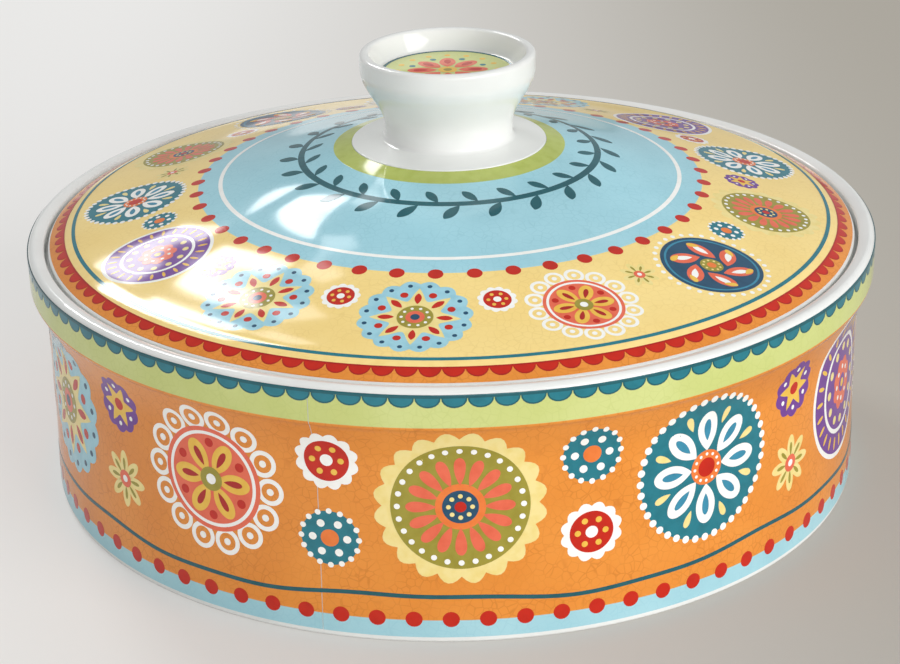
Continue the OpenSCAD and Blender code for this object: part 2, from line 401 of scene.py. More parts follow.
# %% [markdown]
# ## Curved stretches
# Four stretches are curves: the wall with its cove, the top of the lid, the side of the knob and the
# collar's lower edge. Each is a formula, so that the prints can follow the same surface exactly. The
# sponge also leaves slow waves of 0.15 mm in a dome, which nobody sees until a window shines in it:
# they break the reflection into soft patches.

# %% Curves as formulas
WAVE_H = 0.15
WAVE_PITCH = 34
WAVE_TROUGH_R = 99.5
# The waves die away over this share of the dome at both of its ends
DIE_AWAY = 0.06


def side_r(z):
    """Outside radius of the dish below its collar: spreading foot, upright wall and cove."""
    if z < FOOT_SPREAD_H:
        return wall_r + FOOT_SPREAD * (FOOT_SPREAD_H - z) / (FOOT_SPREAD_H - FOOT_ROUND)
    rise = min(1, max(0, (z - cove_low_z) / COVE_H))
    return wall_r + cove_out * (1 - math.cos(math.pi / 2 * rise))


def lid_z(r):
    """Height of the lid's top: a steep border, a rounded shoulder and a low dome with slow waves."""
    share = (shoulder_r - r) / dome_run
    plain = shoulder_z + dome_rise * share - 4 * DOME_DIP * share * (1 - share)
    if r > shoulder_r:
        plain = shoulder_z - border_slope * (r - shoulder_r)
    near = max(0, SHOULDER_W - abs(r - shoulder_r))
    soft = plain - (border_slope - dome_slope) * near * near / (4 * SHOULDER_W)
    inside = max(0, min(1, share / DIE_AWAY, (1 - share) / DIE_AWAY))
    return soft - WAVE_H * inside * math.cos(math.tau * (r - WAVE_TROUGH_R) / WAVE_PITCH)


def bowl_r(z):
    """Outside radius of the knob, swelling from its straight neck to its straight side."""
    share = min(1, max(0, (z - swell_low_z) / (side_low_z - swell_low_z)))
    return neck_r + (knob_r - neck_r) * (3 * share ** 2 - 2 * share ** 3)


def collar_edge():
    """The small round under the collar, which meets the cove in a crease."""
    angles = [-COLLAR_EDGE_ANGLE * (1 - i / CORNER_STEPS) for i in range(1, CORNER_STEPS + 1)]
    return [(rim_r - COLLAR_ROUND * (1 - math.cos(a)), collar_z + COLLAR_ROUND * math.sin(a), 0)
            for a in angles]


print(f"Wall radius {side_r(40):.1f} mm, lid height at the blue disc's edge {lid_z(centre_r):.1f} mm")

# %% [markdown]
# ## What the node trees share
# Each tree below starts with named inputs. Three of the four shape a plain grid: they know the column
# and the share of the way up of every point, move the points to their places, merge those that meet,
# so that the body is closed, and end in real geometry with a material. Each of these habits is one
# function, and so is a place on a circle, because everything here goes round an axis.

# %% Functions for the trees
def new_tree(name, sockets):
    """An empty node tree with the named inputs, and its input sockets."""
    tree = bpy.data.node_groups.new(name, "GeometryNodeTree")
    tree.interface.new_socket("Geometry", in_out="INPUT", socket_type="NodeSocketGeometry")
    for label, kind, value in sockets:
        socket = tree.interface.new_socket(label, in_out="INPUT", socket_type="NodeSocket" + kind)
        if value is not None:
            socket.default_value = value
    tree.interface.new_socket("Geometry", in_out="OUTPUT", socket_type="NodeSocketGeometry")
    return tree, add(tree, "NodeGroupInput").outputs


def grid_place(tree, columns, rows):
    """A grid one metre wide, with each point's column number and its share of the way up."""
    grid = add(tree, "GeometryNodeMeshGrid", {
        "Size X": 1.0, "Size Y": 1.0, "Vertices X": columns, "Vertices Y": rows})
    here = add(tree, "GeometryNodeInputPosition")
    moved = add(tree, "ShaderNodeVectorMath", {0: here, 1: (0.5, 0.5, 0.0)}, operation="ADD")
    share = add(tree, "ShaderNodeSeparateXYZ", {0: moved})
    last = add(tree, "ShaderNodeMath", {0: columns, 1: 1.0}, operation="SUBTRACT")
    exact = add(tree, "ShaderNodeMath", {0: share.outputs["X"], 1: last}, operation="MULTIPLY")
    column = add(tree, "ShaderNodeMath", {0: exact}, operation="ROUND")
    return grid, column, share.outputs["Y"]


def shape_grid(tree, grid, place, distance):
    """Moves the grid's points to their places, merges those that meet, and turns the faces outwards."""
    moved = add(tree, "GeometryNodeSetPosition", {"Geometry": grid.outputs["Mesh"], "Position": place})
    merged = add(tree, "GeometryNodeMergeByDistance", {"Geometry": moved, "Distance": distance})
    return add(tree, "GeometryNodeFlipFaces", {"Mesh": merged})


def circle_place(tree, angle, radius, height=0.0):
    """The place at an angle round the axis, at a radius and a height."""
    cosine = add(tree, "ShaderNodeMath", {0: angle}, operation="COSINE")
    sine = add(tree, "ShaderNodeMath", {0: angle}, operation="SINE")
    east = add(tree, "ShaderNodeMath", {0: cosine, 1: radius}, operation="MULTIPLY")
    north = add(tree, "ShaderNodeMath", {0: sine, 1: radius}, operation="MULTIPLY")
    return add(tree, "ShaderNodeCombineXYZ", {0: east, 1: north, 2: height})


def end_tree(tree, geometry, finish):
    """Ends a tree in real geometry with its material."""
    realized = add(tree, "GeometryNodeRealizeInstances", {"Geometry": geometry})
    finished = add(tree, "GeometryNodeSetMaterial", {"Geometry": realized, "Material": finish})
    add(tree, "NodeGroupOutput", {"Geometry": finished})


# %% [markdown]
# ## The wheel
# This node tree is the potter's wheel. It takes an outline as the points of a mesh and shapes a grid
# by it: one side of the grid follows the outline and the other goes round the axis. The seam and the
# poles merge, so the body is closed. The tree also stores each point's normal, because the printed marks
# will borrow the body's own shading later.

# %% Node tree: turn an outline
# Points closer than this, in metres, merge
TINY = 1e-6
NORMAL_NAME = "turned_normal"

wheel, given = new_tree("turn_an_outline", [
    ("Steps Round", "Int", 300), ("Start", "Float", 0.0), ("Sweep", "Float", math.tau),
    ("Finish", "Material", None)])
outline_size = add(wheel, "GeometryNodeAttributeDomainSize", {"Geometry": given["Geometry"]})
rows = add(wheel, "ShaderNodeMath", {0: given["Steps Round"], 1: 1.0}, operation="ADD")
grid, column, way_round = grid_place(wheel, outline_size.outputs["Point Count"], rows)
here = add(wheel, "GeometryNodeInputPosition")
sampled = add(wheel, "GeometryNodeSampleIndex", {
    "Geometry": given["Geometry"], "Value": here, "Index": column}, data_type="FLOAT_VECTOR")
corner_place = add(wheel, "ShaderNodeSeparateXYZ", {0: sampled})
angle = add(wheel, "ShaderNodeMath", {0: way_round, 1: given["Sweep"], 2: given["Start"]},
            operation="MULTIPLY_ADD")
place = circle_place(wheel, angle, corner_place.outputs["X"], corner_place.outputs["Z"])
outward = shape_grid(wheel, grid, place, TINY)
smooth = add(wheel, "GeometryNodeSetShadeSmooth", {"Geometry": outward, "Shade Smooth": True})
normal = add(wheel, "GeometryNodeInputNormal")
stored = add(wheel, "GeometryNodeStoreNamedAttribute", {
    "Geometry": smooth, "Name": NORMAL_NAME, "Value": normal}, data_type="FLOAT_VECTOR", domain="POINT")
end_tree(wheel, stored, given["Finish"])
print(f"The wheel has {len(wheel.nodes)} nodes")

# %% [markdown]
# ## Running a tree
# A tree runs as a modifier. Its result is taken out as a plain mesh and the modifier goes away, so the
# finished pieces carry nothing hidden. A sheet that stops short of a full turn is open at its two ends,
# and those are filled here. Edges that bend by more than 40 degrees stay crisp, such as the crease under
# the collar; all others shade smoothly, as glaze does.

# %% Run a tree and turn a body
SHARP_ANGLE = math.radians(40)


def run_tree(tree, name, mesh, settings):
    """Runs a tree on a mesh with the named inputs set, and returns the result as a plain mesh."""
    worker = bpy.data.objects.new(name, mesh)
    modifier = worker.modifiers.new("tree", "NODES")
    modifier.node_group = tree
    sockets = {s.name: s.identifier for s in tree.interface.items_tree if s.in_out == "INPUT"}
    for label, value in settings.items():
        modifier[sockets[label]] = value
    scene.collection.objects.link(worker)
    graph = bpy.context.evaluated_depsgraph_get()
    result = bpy.data.meshes.new_from_object(worker.evaluated_get(graph))
    worker.modifiers.remove(modifier)
    bpy.data.objects.remove(worker)
    result.name = name
    return result


def close_ends(mesh):
    """Closes the two ends of a sheet that doesn't go all the way round, and drops an edge on the axis."""
    work = bmesh.new()
    work.from_mesh(mesh)
    bmesh.ops.delete(work, geom=[e for e in work.edges if e.is_wire], context="EDGES")
    open_edges = [e for e in work.edges if e.is_boundary]
    if open_edges:
        bmesh.ops.holes_fill(work, edges=open_edges, sides=0)
    work.to_mesh(mesh)
    work.free()


def turn(name, line, finish, start=0.0, sweep=math.tau):
    """Turns an outline in millimetres into a closed body."""
    points = bpy.data.meshes.new(name + "_outline")
    points.from_pydata([(p.x * MM, 0, p.y * MM) for p in line], [], [])
    mesh = run_tree(wheel, name, points, {"Start": start, "Sweep": sweep, "Finish": finish})
    close_ends(mesh)
    mesh.set_sharp_from_angle(angle=SHARP_ANGLE)
    piece = bpy.data.objects.new(name, mesh)
    scene.collection.objects.link(piece)
    return piece


# %% [markdown]
# ## The dish
# The dish stands on a ring that was wiped free of glaze before firing, so that it didn't stick to the
# kiln shelf. Its wall rises nearly straight, coves out under a collar, and ends in a rim with a seat
# for the lid. The seat's and the rim's corners are soft, as glaze draws back from every sharp edge.

# %% Turn the dish
WIPED_H, WIPED_INSIDE = 0.36, 1
GLAZE_SOFT, SEAT_INNER_SOFT = 0.8, 1.0
RING_INNER_SOFT, RING_EDGE_SOFT = 1.5, 0.7
RIM_FLAT = 0.1

spread_stretch = along(side_r, FOOT_SPREAD_H * 0.3, FOOT_SPREAD_H, 4, by_height=True)
cove_stretch = along(side_r, cove_low_z, cove_top_z, 12, by_height=True) + collar_edge()
dish_line = soften(
    [(0, FOOT_RING_H, 0), (foot_ring_r - FOOT_RING_H, FOOT_RING_H, RING_INNER_SOFT),
     (foot_ring_r, 0, RING_EDGE_SOFT), (foot_r, 0, FOOT_ROUND)]
    + spread_stretch + cove_stretch
    + [(rim_r, dish_h, RIM_ROUND), (rim_r - RIM_ROUND - RIM_FLAT, dish_h, 0),
       (seat_r, dish_h - RIM_FALL, GLAZE_SOFT), (seat_r, seat_z, GLAZE_SOFT),
       (inner_r, seat_z, SEAT_INNER_SOFT), (inner_r, floor_z, INNER_CORNER_R), (0, floor_z, 0)])
dish = turn("dish_casting", dish_line, white_glaze)


def wipe_clean(piece, foot_z, inside_r, outside_r):
    """Gives the faces that the piece stood on, between two radii, the bare clay."""
    piece.data.materials.append(foot_clay)
    for face in piece.data.polygons:
        centre = face.center / MM
        on_foot = abs(centre.z - foot_z) < WIPED_H
        if on_foot and inside_r < math.hypot(centre.x, centre.y) < outside_r:
            face.material_index = 1


wipe_clean(dish, 0, foot_ring_r - WIPED_INSIDE, foot_r)
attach(dish, "dish")
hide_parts("dish")
print(f"Dish: {len(dish_line)} outline points, {len(dish.data.polygons)} faces")

# %% [markdown]
# ## The lid
# The lid is one casting: a low dome with a steeper border, a thick edge that drops into the seat, and
# a ring underneath that keeps it centred. Steam leaves through a small hole under the knob. The lid is
# thick and hollow underneath, so its outline is closed and goes round both of its faces.

# %% Turn the lid
HOLE_SOFT, RING_FOOT_SOFT, RING_ROOT_SOFT, LID_FOOT_SOFT = 0.6, 1.2, 1.0, 0.7
PAST_EDGE, INSIDE_SHOULDER = 0.15, 2

inside_shoulder_r = shoulder_r - SHOULDER_W - INSIDE_SHOULDER
lid_line = soften(
    [(VENT_D / 2, land_z - LID_T, HOLE_SOFT)]
    + along(lambda r: lid_z(r) - LID_T, knob_foot_r, locating_in_r, 16)
    + [(locating_in_r, locating_low_z, RING_FOOT_SOFT), (locating_r, locating_low_z, RING_FOOT_SOFT),
       (locating_r, seat_z, RING_ROOT_SOFT), (lid_r, seat_z, LID_FOOT_SOFT),
       (lid_r, lid_z(lid_r), LID_EDGE_ROUND)]
    + along(lid_z, edge_in_r - PAST_EDGE, shoulder_r + SHOULDER_W, 4)
    + along(lid_z, shoulder_r + SHOULDER_W * 0.7, shoulder_r - SHOULDER_W, 8)
    + along(lid_z, inside_shoulder_r, centre_in_r, 26)
    + [(knob_foot_r, land_z, 0), (VENT_D / 2, land_z, HOLE_SOFT)], closed=True)
lid = turn("lid_casting", lid_line, white_glaze)
wipe_clean(lid, locating_low_z, locating_in_r, locating_r)
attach(lid, "lid")
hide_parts("lid")
print(f"Lid: {len(lid_line)} outline points, {len(lid.data.polygons)} faces")

# %% [markdown]
# ## The knob
# The knob is cast hollow and stuck on while both pieces are still damp. It has a short neck, a round
# side and a shallow recess on top that holds a print. The glaze fills the joint round its foot, so a
# small hollow curve leads from the foot into the neck.

# %% Turn the knob
FILLET_ARC, FILLET_STEPS = 86, 8
KNOB_FOOT_SOFT, RECESS_SOFT, HOLLOW_SOFT = 0.3, 1.4, 1.5
LIP_SOFT = KNOB_LIP_W * 0.46
HOLLOW_STRAIGHT = 3

fillet_angles = [math.radians(FILLET_ARC * (1 - i / FILLET_STEPS)) for i in range(FILLET_STEPS)]
knob_line = soften(
    [(bowl_r(land_z) - KNOB_WALL_T, land_z, 0), (knob_foot_r, land_z, 0),
     (knob_foot_r, land_z + KNOB_FOOT_EDGE, KNOB_FOOT_SOFT)]
    + [(neck_r + KNOB_FILLET_R * (1 - math.cos(a)), neck_low_z - KNOB_FILLET_R * math.sin(a), 0)
       for a in fillet_angles]
    + along(bowl_r, neck_low_z, side_low_z, 24, by_height=True)
    + [(knob_r, knob_top_z, LIP_SOFT), (recess_top_r, knob_top_z, LIP_SOFT),
       (recess_r, recess_z, RECESS_SOFT), (0, recess_z, 0)])
knob_under = soften(
    [(0, hollow_top_z, 0), (bowl_r(hollow_top_z) - KNOB_WALL_T, hollow_top_z, HOLLOW_SOFT)]
    + along(lambda z: bowl_r(z) - KNOB_WALL_T, hollow_top_z - HOLLOW_STRAIGHT, land_z, 12, by_height=True))
knob = turn("knob_casting", knob_line + knob_under, white_glaze)
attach(knob, "lid")
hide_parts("knob")
print(f"Knob: {len(knob.data.polygons)} faces")

# %% [markdown]
# ## The printed grounds
# The colours are transfers: sheets of ceramic ink that are wetted, slid onto the glazed ware, smoothed
# down and fired on. Each ground is a thin sheet turned from the same formulas as the body under it,
# so it follows the surface exactly. The side sheets meet in a seam, which shows as a fine pale line.

# %% A sheet
SEAM_DIRECTION = math.radians(252.8)
SEAM_GAP = 0.32

seam_angle = SEAM_GAP / rim_r


def lay_ground(name, node, body, stretch, ground):
    """Makes one printed sheet on a stretch of the dish's side, or of the top of the lid or knob."""
    on_side = body == "dish"
    out, up = (PRINT_T, 0) if on_side else (0, PRINT_T)
    outer = [(r + out, z + up, 0) for r, z, _ in stretch]
    line = soften(outer + stretch[::-1], closed=True)
    start = SEAM_DIRECTION + seam_angle / 2 if on_side else 0.0
    sweep = math.tau - seam_angle if on_side else math.tau
    piece = turn(name, line, grounds[ground], start, sweep)
    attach(piece, body)
    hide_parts(node)
    print(f"{name}: {len(piece.data.polygons)} faces")


# %% [markdown]
# ### The seven sheets
# Each sheet covers a stretch of an outline. The steps are shorter where the surface bends, at the cove
# and at the lid's shoulder.

# %% Lay the grounds
collar_stretch = [(rim_r, collar_z, 0), (rim_r, dish_h - RIM_ROUND, 0)]
wall_stretch = along(side_r, foot_band_top, FOOT_SPREAD_H, 5, by_height=True) + cove_stretch
foot_stretch = along(side_r, foot_band_low, foot_band_top, 3, by_height=True)
border_stretch = (
    along(lid_z, border_print_r, shoulder_r + SHOULDER_W, 2)
    + along(lid_z, shoulder_r + SHOULDER_W * 0.8, shoulder_r, 4))
field_stretch = (
    along(lid_z, shoulder_r, shoulder_r - SHOULDER_W, 4) + along(lid_z, inside_shoulder_r, centre_r, 12))
centre_stretch = along(lid_z, centre_r, centre_in_r, 16)
knob_stretch = [(knob_print_r, recess_z, 0), (0.0, recess_z, 0)]

lay_ground("collar_green_ground", "collar_print", "dish", collar_stretch, "green")
lay_ground("wall_orange_ground", "wall_print", "dish", wall_stretch, "orange")
lay_ground("foot_blue_ground", "foot_print", "dish", foot_stretch, "sky_blue")
lay_ground("lid_orange_ground", "lid_border_print", "lid", border_stretch, "orange")
lay_ground("lid_yellow_ground", "lid_field_print", "lid", field_stretch, "yellow")
lay_ground("lid_blue_ground", "lid_centre_print", "lid", centre_stretch, "blue")
lay_ground("knob_green_ground", "knob_print", "lid", knob_stretch, "green")

# %% [markdown]
# ## Drawing the marks
# Every ornament on the ware is made of small shapes with a clean edge: dots, petals, drops, rays,
# scallops and rings. A brush mark has a widest place, a toe that points away from the middle and a
# heel that points towards it, and each end is round or pointed. A disc is the same mark with a toe and
# heel of one length, and lobes give it scallops or the points of a star. This tree draws such a mark
# as a thin closed solid, and repeats it in a ring. Drawings are flat and in millimetres.

# %% Node tree: a ring of marks
marks, given = new_tree("ring_of_marks", [
    ("Count", "Int", 1), ("Ring Radius", "Float", 0.0), ("Turn", "Float", 0.0), ("Lean", "Float", 0.0),
    ("Toe", "Float", 1.0), ("Heel", "Float", 1.0), ("Width", "Float", 2.0),
    ("Toe Point", "Float", 0.0), ("Heel Point", "Float", 0.0),
    ("Lobes", "Float", 0.0), ("Lobe Depth", "Float", 0.0), ("Hole", "Float", 0.0),
    ("Points", "Int", 24), ("Rings", "Int", 1), ("Low", "Float", 0.0), ("High", "Float", 0.1),
    ("Ink", "Material", None)])
has_hole = add(marks, "ShaderNodeMath", {0: given["Hole"], 1: 0.0}, operation="GREATER_THAN")
inner_loops = add(marks, "ShaderNodeMath", {0: given["Rings"], 1: 2.0, 2: has_hole},
                  operation="MULTIPLY_ADD")
loops = add(marks, "ShaderNodeMath", {0: inner_loops, 1: 2.0}, operation="ADD")
rows = add(marks, "ShaderNodeMath", {0: given["Points"], 1: 1.0}, operation="ADD")
grid, loop, way_round = grid_place(marks, loops, rows)

# %% [markdown]
# ### The edge of a mark
# The edge is an ellipse with a toe and a heel of different lengths. Raising the sine to a power above
# one draws an end in to a point.

# %% The edge in each direction
angle = add(marks, "ShaderNodeMath", {0: way_round, 1: math.tau}, operation="MULTIPLY")
cosine = add(marks, "ShaderNodeMath", {0: angle}, operation="COSINE")
sine = add(marks, "ShaderNodeMath", {0: angle}, operation="SINE")
in_toe = add(marks, "ShaderNodeMath", {0: cosine, 1: 0.0}, operation="GREATER_THAN")
reach = add(marks, "GeometryNodeSwitch", {0: in_toe, 1: given["Heel"], 2: given["Toe"]},
            input_type="FLOAT")
point = add(marks, "GeometryNodeSwitch", {0: in_toe, 1: given["Heel Point"], 2: given["Toe Point"]},
            input_type="FLOAT")
power = add(marks, "ShaderNodeMath", {0: point, 1: 1.0}, operation="ADD")
size = add(marks, "ShaderNodeMath", {0: sine}, operation="ABSOLUTE")
narrowed = add(marks, "ShaderNodeMath", {0: size, 1: power}, operation="POWER")
side = add(marks, "ShaderNodeMath", {0: sine}, operation="SIGN")
across = add(marks, "ShaderNodeMath", {0: narrowed, 1: side}, operation="MULTIPLY")
half_width = add(marks, "ShaderNodeMath", {0: given["Width"], 1: 0.5}, operation="MULTIPLY")
edge_x = add(marks, "ShaderNodeMath", {0: cosine, 1: reach}, operation="MULTIPLY")
edge_y = add(marks, "ShaderNodeMath", {0: across, 1: half_width}, operation="MULTIPLY")
print(f"The tree for marks has {len(marks.nodes)} nodes so far")

# %% [markdown]
# ### Lobes
# Lobes and star points take a share of the edge away. A lobed disc loses most in the notches between
# its bulges, and a star loses most between its points: the sign of the depth tells which one it is.

# %% The share that lobes leave
half_lobes = add(marks, "ShaderNodeMath", {0: given["Lobes"], 1: 0.5}, operation="MULTIPLY")
lobe_angle = add(marks, "ShaderNodeMath", {0: angle, 1: half_lobes}, operation="MULTIPLY")
lobe_sine = add(marks, "ShaderNodeMath", {0: lobe_angle}, operation="SINE")
lobe = add(marks, "ShaderNodeMath", {0: lobe_sine}, operation="ABSOLUTE")
notch = add(marks, "ShaderNodeMath", {0: 1.0, 1: lobe}, operation="SUBTRACT")
bulges = add(marks, "ShaderNodeMath", {0: given["Lobe Depth"], 1: 0.0}, operation="GREATER_THAN")
dip = add(marks, "GeometryNodeSwitch", {0: bulges, 1: lobe, 2: notch}, input_type="FLOAT")
depth = add(marks, "ShaderNodeMath", {0: given["Lobe Depth"]}, operation="ABSOLUTE")
lost = add(marks, "ShaderNodeMath", {0: dip, 1: depth}, operation="MULTIPLY")
kept = add(marks, "ShaderNodeMath", {0: 1.0, 1: lost}, operation="SUBTRACT")
print(f"The tree for marks has {len(marks.nodes)} nodes so far")

# %% [markdown]
# ### A closed solid
# The grid's loops go from the middle out along the underside of the mark and back in along its top.
# Where the mark has a hole, one more loop closes the hole's wall.

# %% Loops under and over the mark
edge_loop = add(marks, "ShaderNodeMath", {0: given["Rings"], 1: 0.5}, operation="ADD")
from_edge = add(marks, "ShaderNodeMath", {0: loop, 1: edge_loop}, operation="SUBTRACT")
steps_in = add(marks, "ShaderNodeMath", {0: from_edge}, operation="ABSOLUTE")
share = add(marks, "ShaderNodeMapRange", {
    "Value": steps_in, "From Min": 0.5, "From Max": edge_loop, "To Min": 1.0, "To Max": given["Hole"]})
spread = add(marks, "ShaderNodeMath", {0: share, 1: kept}, operation="MULTIPLY")
above = add(marks, "ShaderNodeMath", {0: from_edge, 1: 0.0}, operation="GREATER_THAN")
last_top = add(marks, "ShaderNodeMath", {0: edge_loop, 1: 0.5}, operation="ADD")
before = add(marks, "ShaderNodeMath", {0: from_edge, 1: last_top}, operation="LESS_THAN")
on_top = add(marks, "ShaderNodeMath", {0: above, 1: before}, operation="MULTIPLY")
height = add(marks, "ShaderNodeMapRange", {
    "Value": on_top, "To Min": given["Low"], "To Max": given["High"]})
mark_x = add(marks, "ShaderNodeMath", {0: edge_x, 1: spread}, operation="MULTIPLY")
mark_y = add(marks, "ShaderNodeMath", {0: edge_y, 1: spread}, operation="MULTIPLY")
place = add(marks, "ShaderNodeCombineXYZ", {0: mark_x, 1: mark_y, 2: height})
outward = shape_grid(marks, grid, place, SAME_PLACE)
print(f"The tree for marks has {len(marks.nodes)} nodes so far")

# %% [markdown]
# ### The ring
# Copies of the mark stand on points round a circle, and each one turns to face outwards, with a lean
# if it is asked for.

# %% Copies round a circle
def copies_at(tree, count, place, shape, rotation):
    """Copies of a shape on so many points."""
    points = add(tree, "GeometryNodePoints", {"Count": count, "Position": place})
    return add(tree, "GeometryNodeInstanceOnPoints", {
        "Points": points, "Instance": shape, "Rotation": rotation})


number = add(marks, "GeometryNodeInputIndex")
step = add(marks, "ShaderNodeMath", {0: math.tau, 1: given["Count"]}, operation="DIVIDE")
direction = add(marks, "ShaderNodeMath", {0: number, 1: step, 2: given["Turn"]}, operation="MULTIPLY_ADD")
centre = circle_place(marks, direction, given["Ring Radius"])
leant = add(marks, "ShaderNodeMath", {0: direction, 1: given["Lean"]}, operation="ADD")
turned = add(marks, "ShaderNodeCombineXYZ", {2: leant})
copies = copies_at(marks, given["Count"], centre, outward, turned)
end_tree(marks, copies, given["Ink"])
print(f"The tree for marks has {len(marks.nodes)} nodes")

# %% [markdown]
# ## Laying a drawing on the ware
# A transfer is printed flat and then slid onto a curved surface. This tree does the same: it repeats a
# flat drawing round the axis, carries each point out past the body, and sends a ray back to find the
# surface under it. The point lands there and keeps its height above the sheet. It also takes the
# body's own normal, so that the glaze over a mark shines like the glaze round it. A drawing brings its
# own inks, often several, so this tree sets no material. Only a line that goes all the way round has
# its ends joined, because points of neighbouring marks must not grow together.

# %% Node tree: lay a drawing on a turned body
FAR_OUT = 0.25

laying, given = new_tree("lay_on_a_turned_body", [
    ("Body", "Object", None), ("From Above", "Bool", False), ("Count", "Int", 1),
    ("First", "Float", 0.0), ("Step", "Float", 0.0), ("Centre", "Float", 0.0),
    ("Wrap Radius", "Float", 0.1), ("Join Ends", "Bool", False)])
target = add(laying, "GeometryNodeObjectInfo", {"Object": given["Body"]})
above = given["From Above"]
wrap = given["Wrap Radius"]
number = add(laying, "GeometryNodeInputIndex")
azimuth = add(laying, "ShaderNodeMath", {0: number, 1: given["Step"], 2: given["First"]},
              operation="MULTIPLY_ADD")
top_centre = circle_place(laying, azimuth, given["Centre"])
unrolled = add(laying, "ShaderNodeMath", {0: azimuth, 1: wrap}, operation="MULTIPLY")
side_centre = add(laying, "ShaderNodeCombineXYZ", {0: unrolled, 1: given["Centre"]})
centre = add(laying, "GeometryNodeSwitch", {0: above, 1: side_centre, 2: top_centre},
             input_type="VECTOR")
quarter = add(laying, "ShaderNodeMath", {0: azimuth, 1: math.pi / 2}, operation="SUBTRACT")
facing_out = add(laying, "ShaderNodeCombineXYZ", {2: quarter})
turned = add(laying, "GeometryNodeSwitch", {0: above, 1: (0.0, 0.0, 0.0), 2: facing_out},
             input_type="VECTOR")
copies = copies_at(laying, given["Count"], centre, given["Geometry"], turned)
realized = add(laying, "GeometryNodeRealizeInstances", {"Geometry": copies})
print(f"The tree for laying has {len(laying.nodes)} nodes so far")

# %% [markdown]
# ### Rays back to the surface
# On the wall, how far a point lies along the flat sheet says how far round the axis it belongs, and
# its ray comes in level. On the lid the ray comes straight down.

# %% Send the rays
here = add(laying, "GeometryNodeInputPosition")
flat = add(laying, "ShaderNodeSeparateXYZ", {0: here})
round_axis = add(laying, "ShaderNodeMath", {0: flat.outputs["X"], 1: wrap}, operation="DIVIDE")
side_out = circle_place(laying, round_axis, 1.0)
outward = add(laying, "GeometryNodeSwitch", {0: above, 1: side_out, 2: (0.0, 0.0, 1.0)},
              input_type="VECTOR")
side_base = add(laying, "ShaderNodeCombineXYZ", {2: flat.outputs["Y"]})
top_base = add(laying, "ShaderNodeCombineXYZ", {0: flat.outputs["X"], 1: flat.outputs["Y"]})
base = add(laying, "GeometryNodeSwitch", {0: above, 1: side_base, 2: top_base}, input_type="VECTOR")
source = add(laying, "ShaderNodeVectorMath", {0: outward, 1: (FAR_OUT,) * 3, 2: base},
             operation="MULTIPLY_ADD")
inward = add(laying, "ShaderNodeVectorMath", {0: outward, "Scale": -1.0}, operation="SCALE")
body_normal = add(laying, "GeometryNodeInputNamedAttribute", {"Name": NORMAL_NAME},
                  data_type="FLOAT_VECTOR")
found = add(laying, "GeometryNodeRaycast", {
    "Target Geometry": target.outputs["Geometry"], "Attribute": body_normal, "Source Position": source,
    "Ray Direction": inward, "Ray Length": 1.0}, data_type="FLOAT_VECTOR")
lift = add(laying, "ShaderNodeVectorMath", {0: outward, "Scale": flat.outputs["Z"]}, operation="SCALE")
landed = add(laying, "ShaderNodeVectorMath", {0: found.outputs["Hit Position"], 1: lift}, operation="ADD")
stored = add(laying, "GeometryNodeStoreNamedAttribute", {
    "Geometry": realized, "Name": NORMAL_NAME, "Value": found.outputs["Attribute"]},
    data_type="FLOAT_VECTOR", domain="POINT")
laid = add(laying, "GeometryNodeSetPosition", {"Geometry": stored, "Position": landed})
merged = add(laying, "GeometryNodeMergeByDistance", {"Geometry": laid, "Distance": TINY})
joined = add(laying, "GeometryNodeSwitch", {0: given["Join Ends"], 1: laid, 2: merged},
             input_type="GEOMETRY")
smooth = add(laying, "GeometryNodeSetShadeSmooth", {"Geometry": joined, "Shade Smooth": True})
add(laying, "NodeGroupOutput", {"Geometry": smooth})
print(f"The tree for laying has {len(laying.nodes)} nodes")

# %% [markdown]
# ## Layers of ink
# Where one colour covers another, the later ink lies on the earlier one. So each mark has a layer, and
# its top is a few hundredths of a millimetre above the layer before. All of them start inside the
# ground sheet, so that nothing floats. A drawing is a list of rings of marks.

# %% Rings of marks
MARK_LOW = 0.12
FIRST_LAYER = 0.235
LAYER_STEP = 0.03
# A wide mark gets a loop of faces about every so many millimetres, so that it can follow a curve
DISC_RING = 1.7
# Each: a reach in millimetres, and the points on the edge of a mark that reaches less far
EDGE_POINTS = [(1.2, 16), (4.4, 24), (math.inf, 72)]


def layer_top(layer):
    """The height of a layer of ink above the body."""
    return FIRST_LAYER + LAYER_STEP * (layer - 1)


def ring(ink, layer, count=1, at=0.0, toe=1.0, heel=None, width=None, turn=0.0, lean=0.0, **shape):
    """One ring of marks, as settings for the tree. A mark with no heel or width is a round disc."""
    heel = toe if heel is None else heel
    width = 2 * toe if width is None else width
    reach = max(toe, heel, width / 2)
    usual_points = next(points for limit, points in EDGE_POINTS if reach < limit)
    hole = shape.get("hole", 0.0)
    return {
        "Count": count, "Ring Radius": float(at), "Turn": math.radians(turn), "Lean": math.radians(lean),
        "Toe": float(toe), "Heel": float(heel), "Width": float(width),
        "Toe Point": float(shape.get("toe_point", 0)), "Heel Point": float(shape.get("heel_point", 0)),
        "Lobes": float(shape.get("lobes", 0)), "Lobe Depth": float(shape.get("lobe_depth", 0)),
        "Hole": float(hole), "Points": shape.get("points", usual_points),
        "Rings": max(1, round(reach * (1 - hole) / DISC_RING + 0.4)),
        "Low": MARK_LOW, "High": layer_top(layer), "Ink": inks[ink]}


# %% [markdown]
# ## From rings to a drawing
# Many flowers share a ring, such as the same round dot. A ring is therefore made once and kept, and a
# drawing only joins the points and faces of its rings, with the ink of each face.

# %% Join rings into a drawing
ring_cache = {}


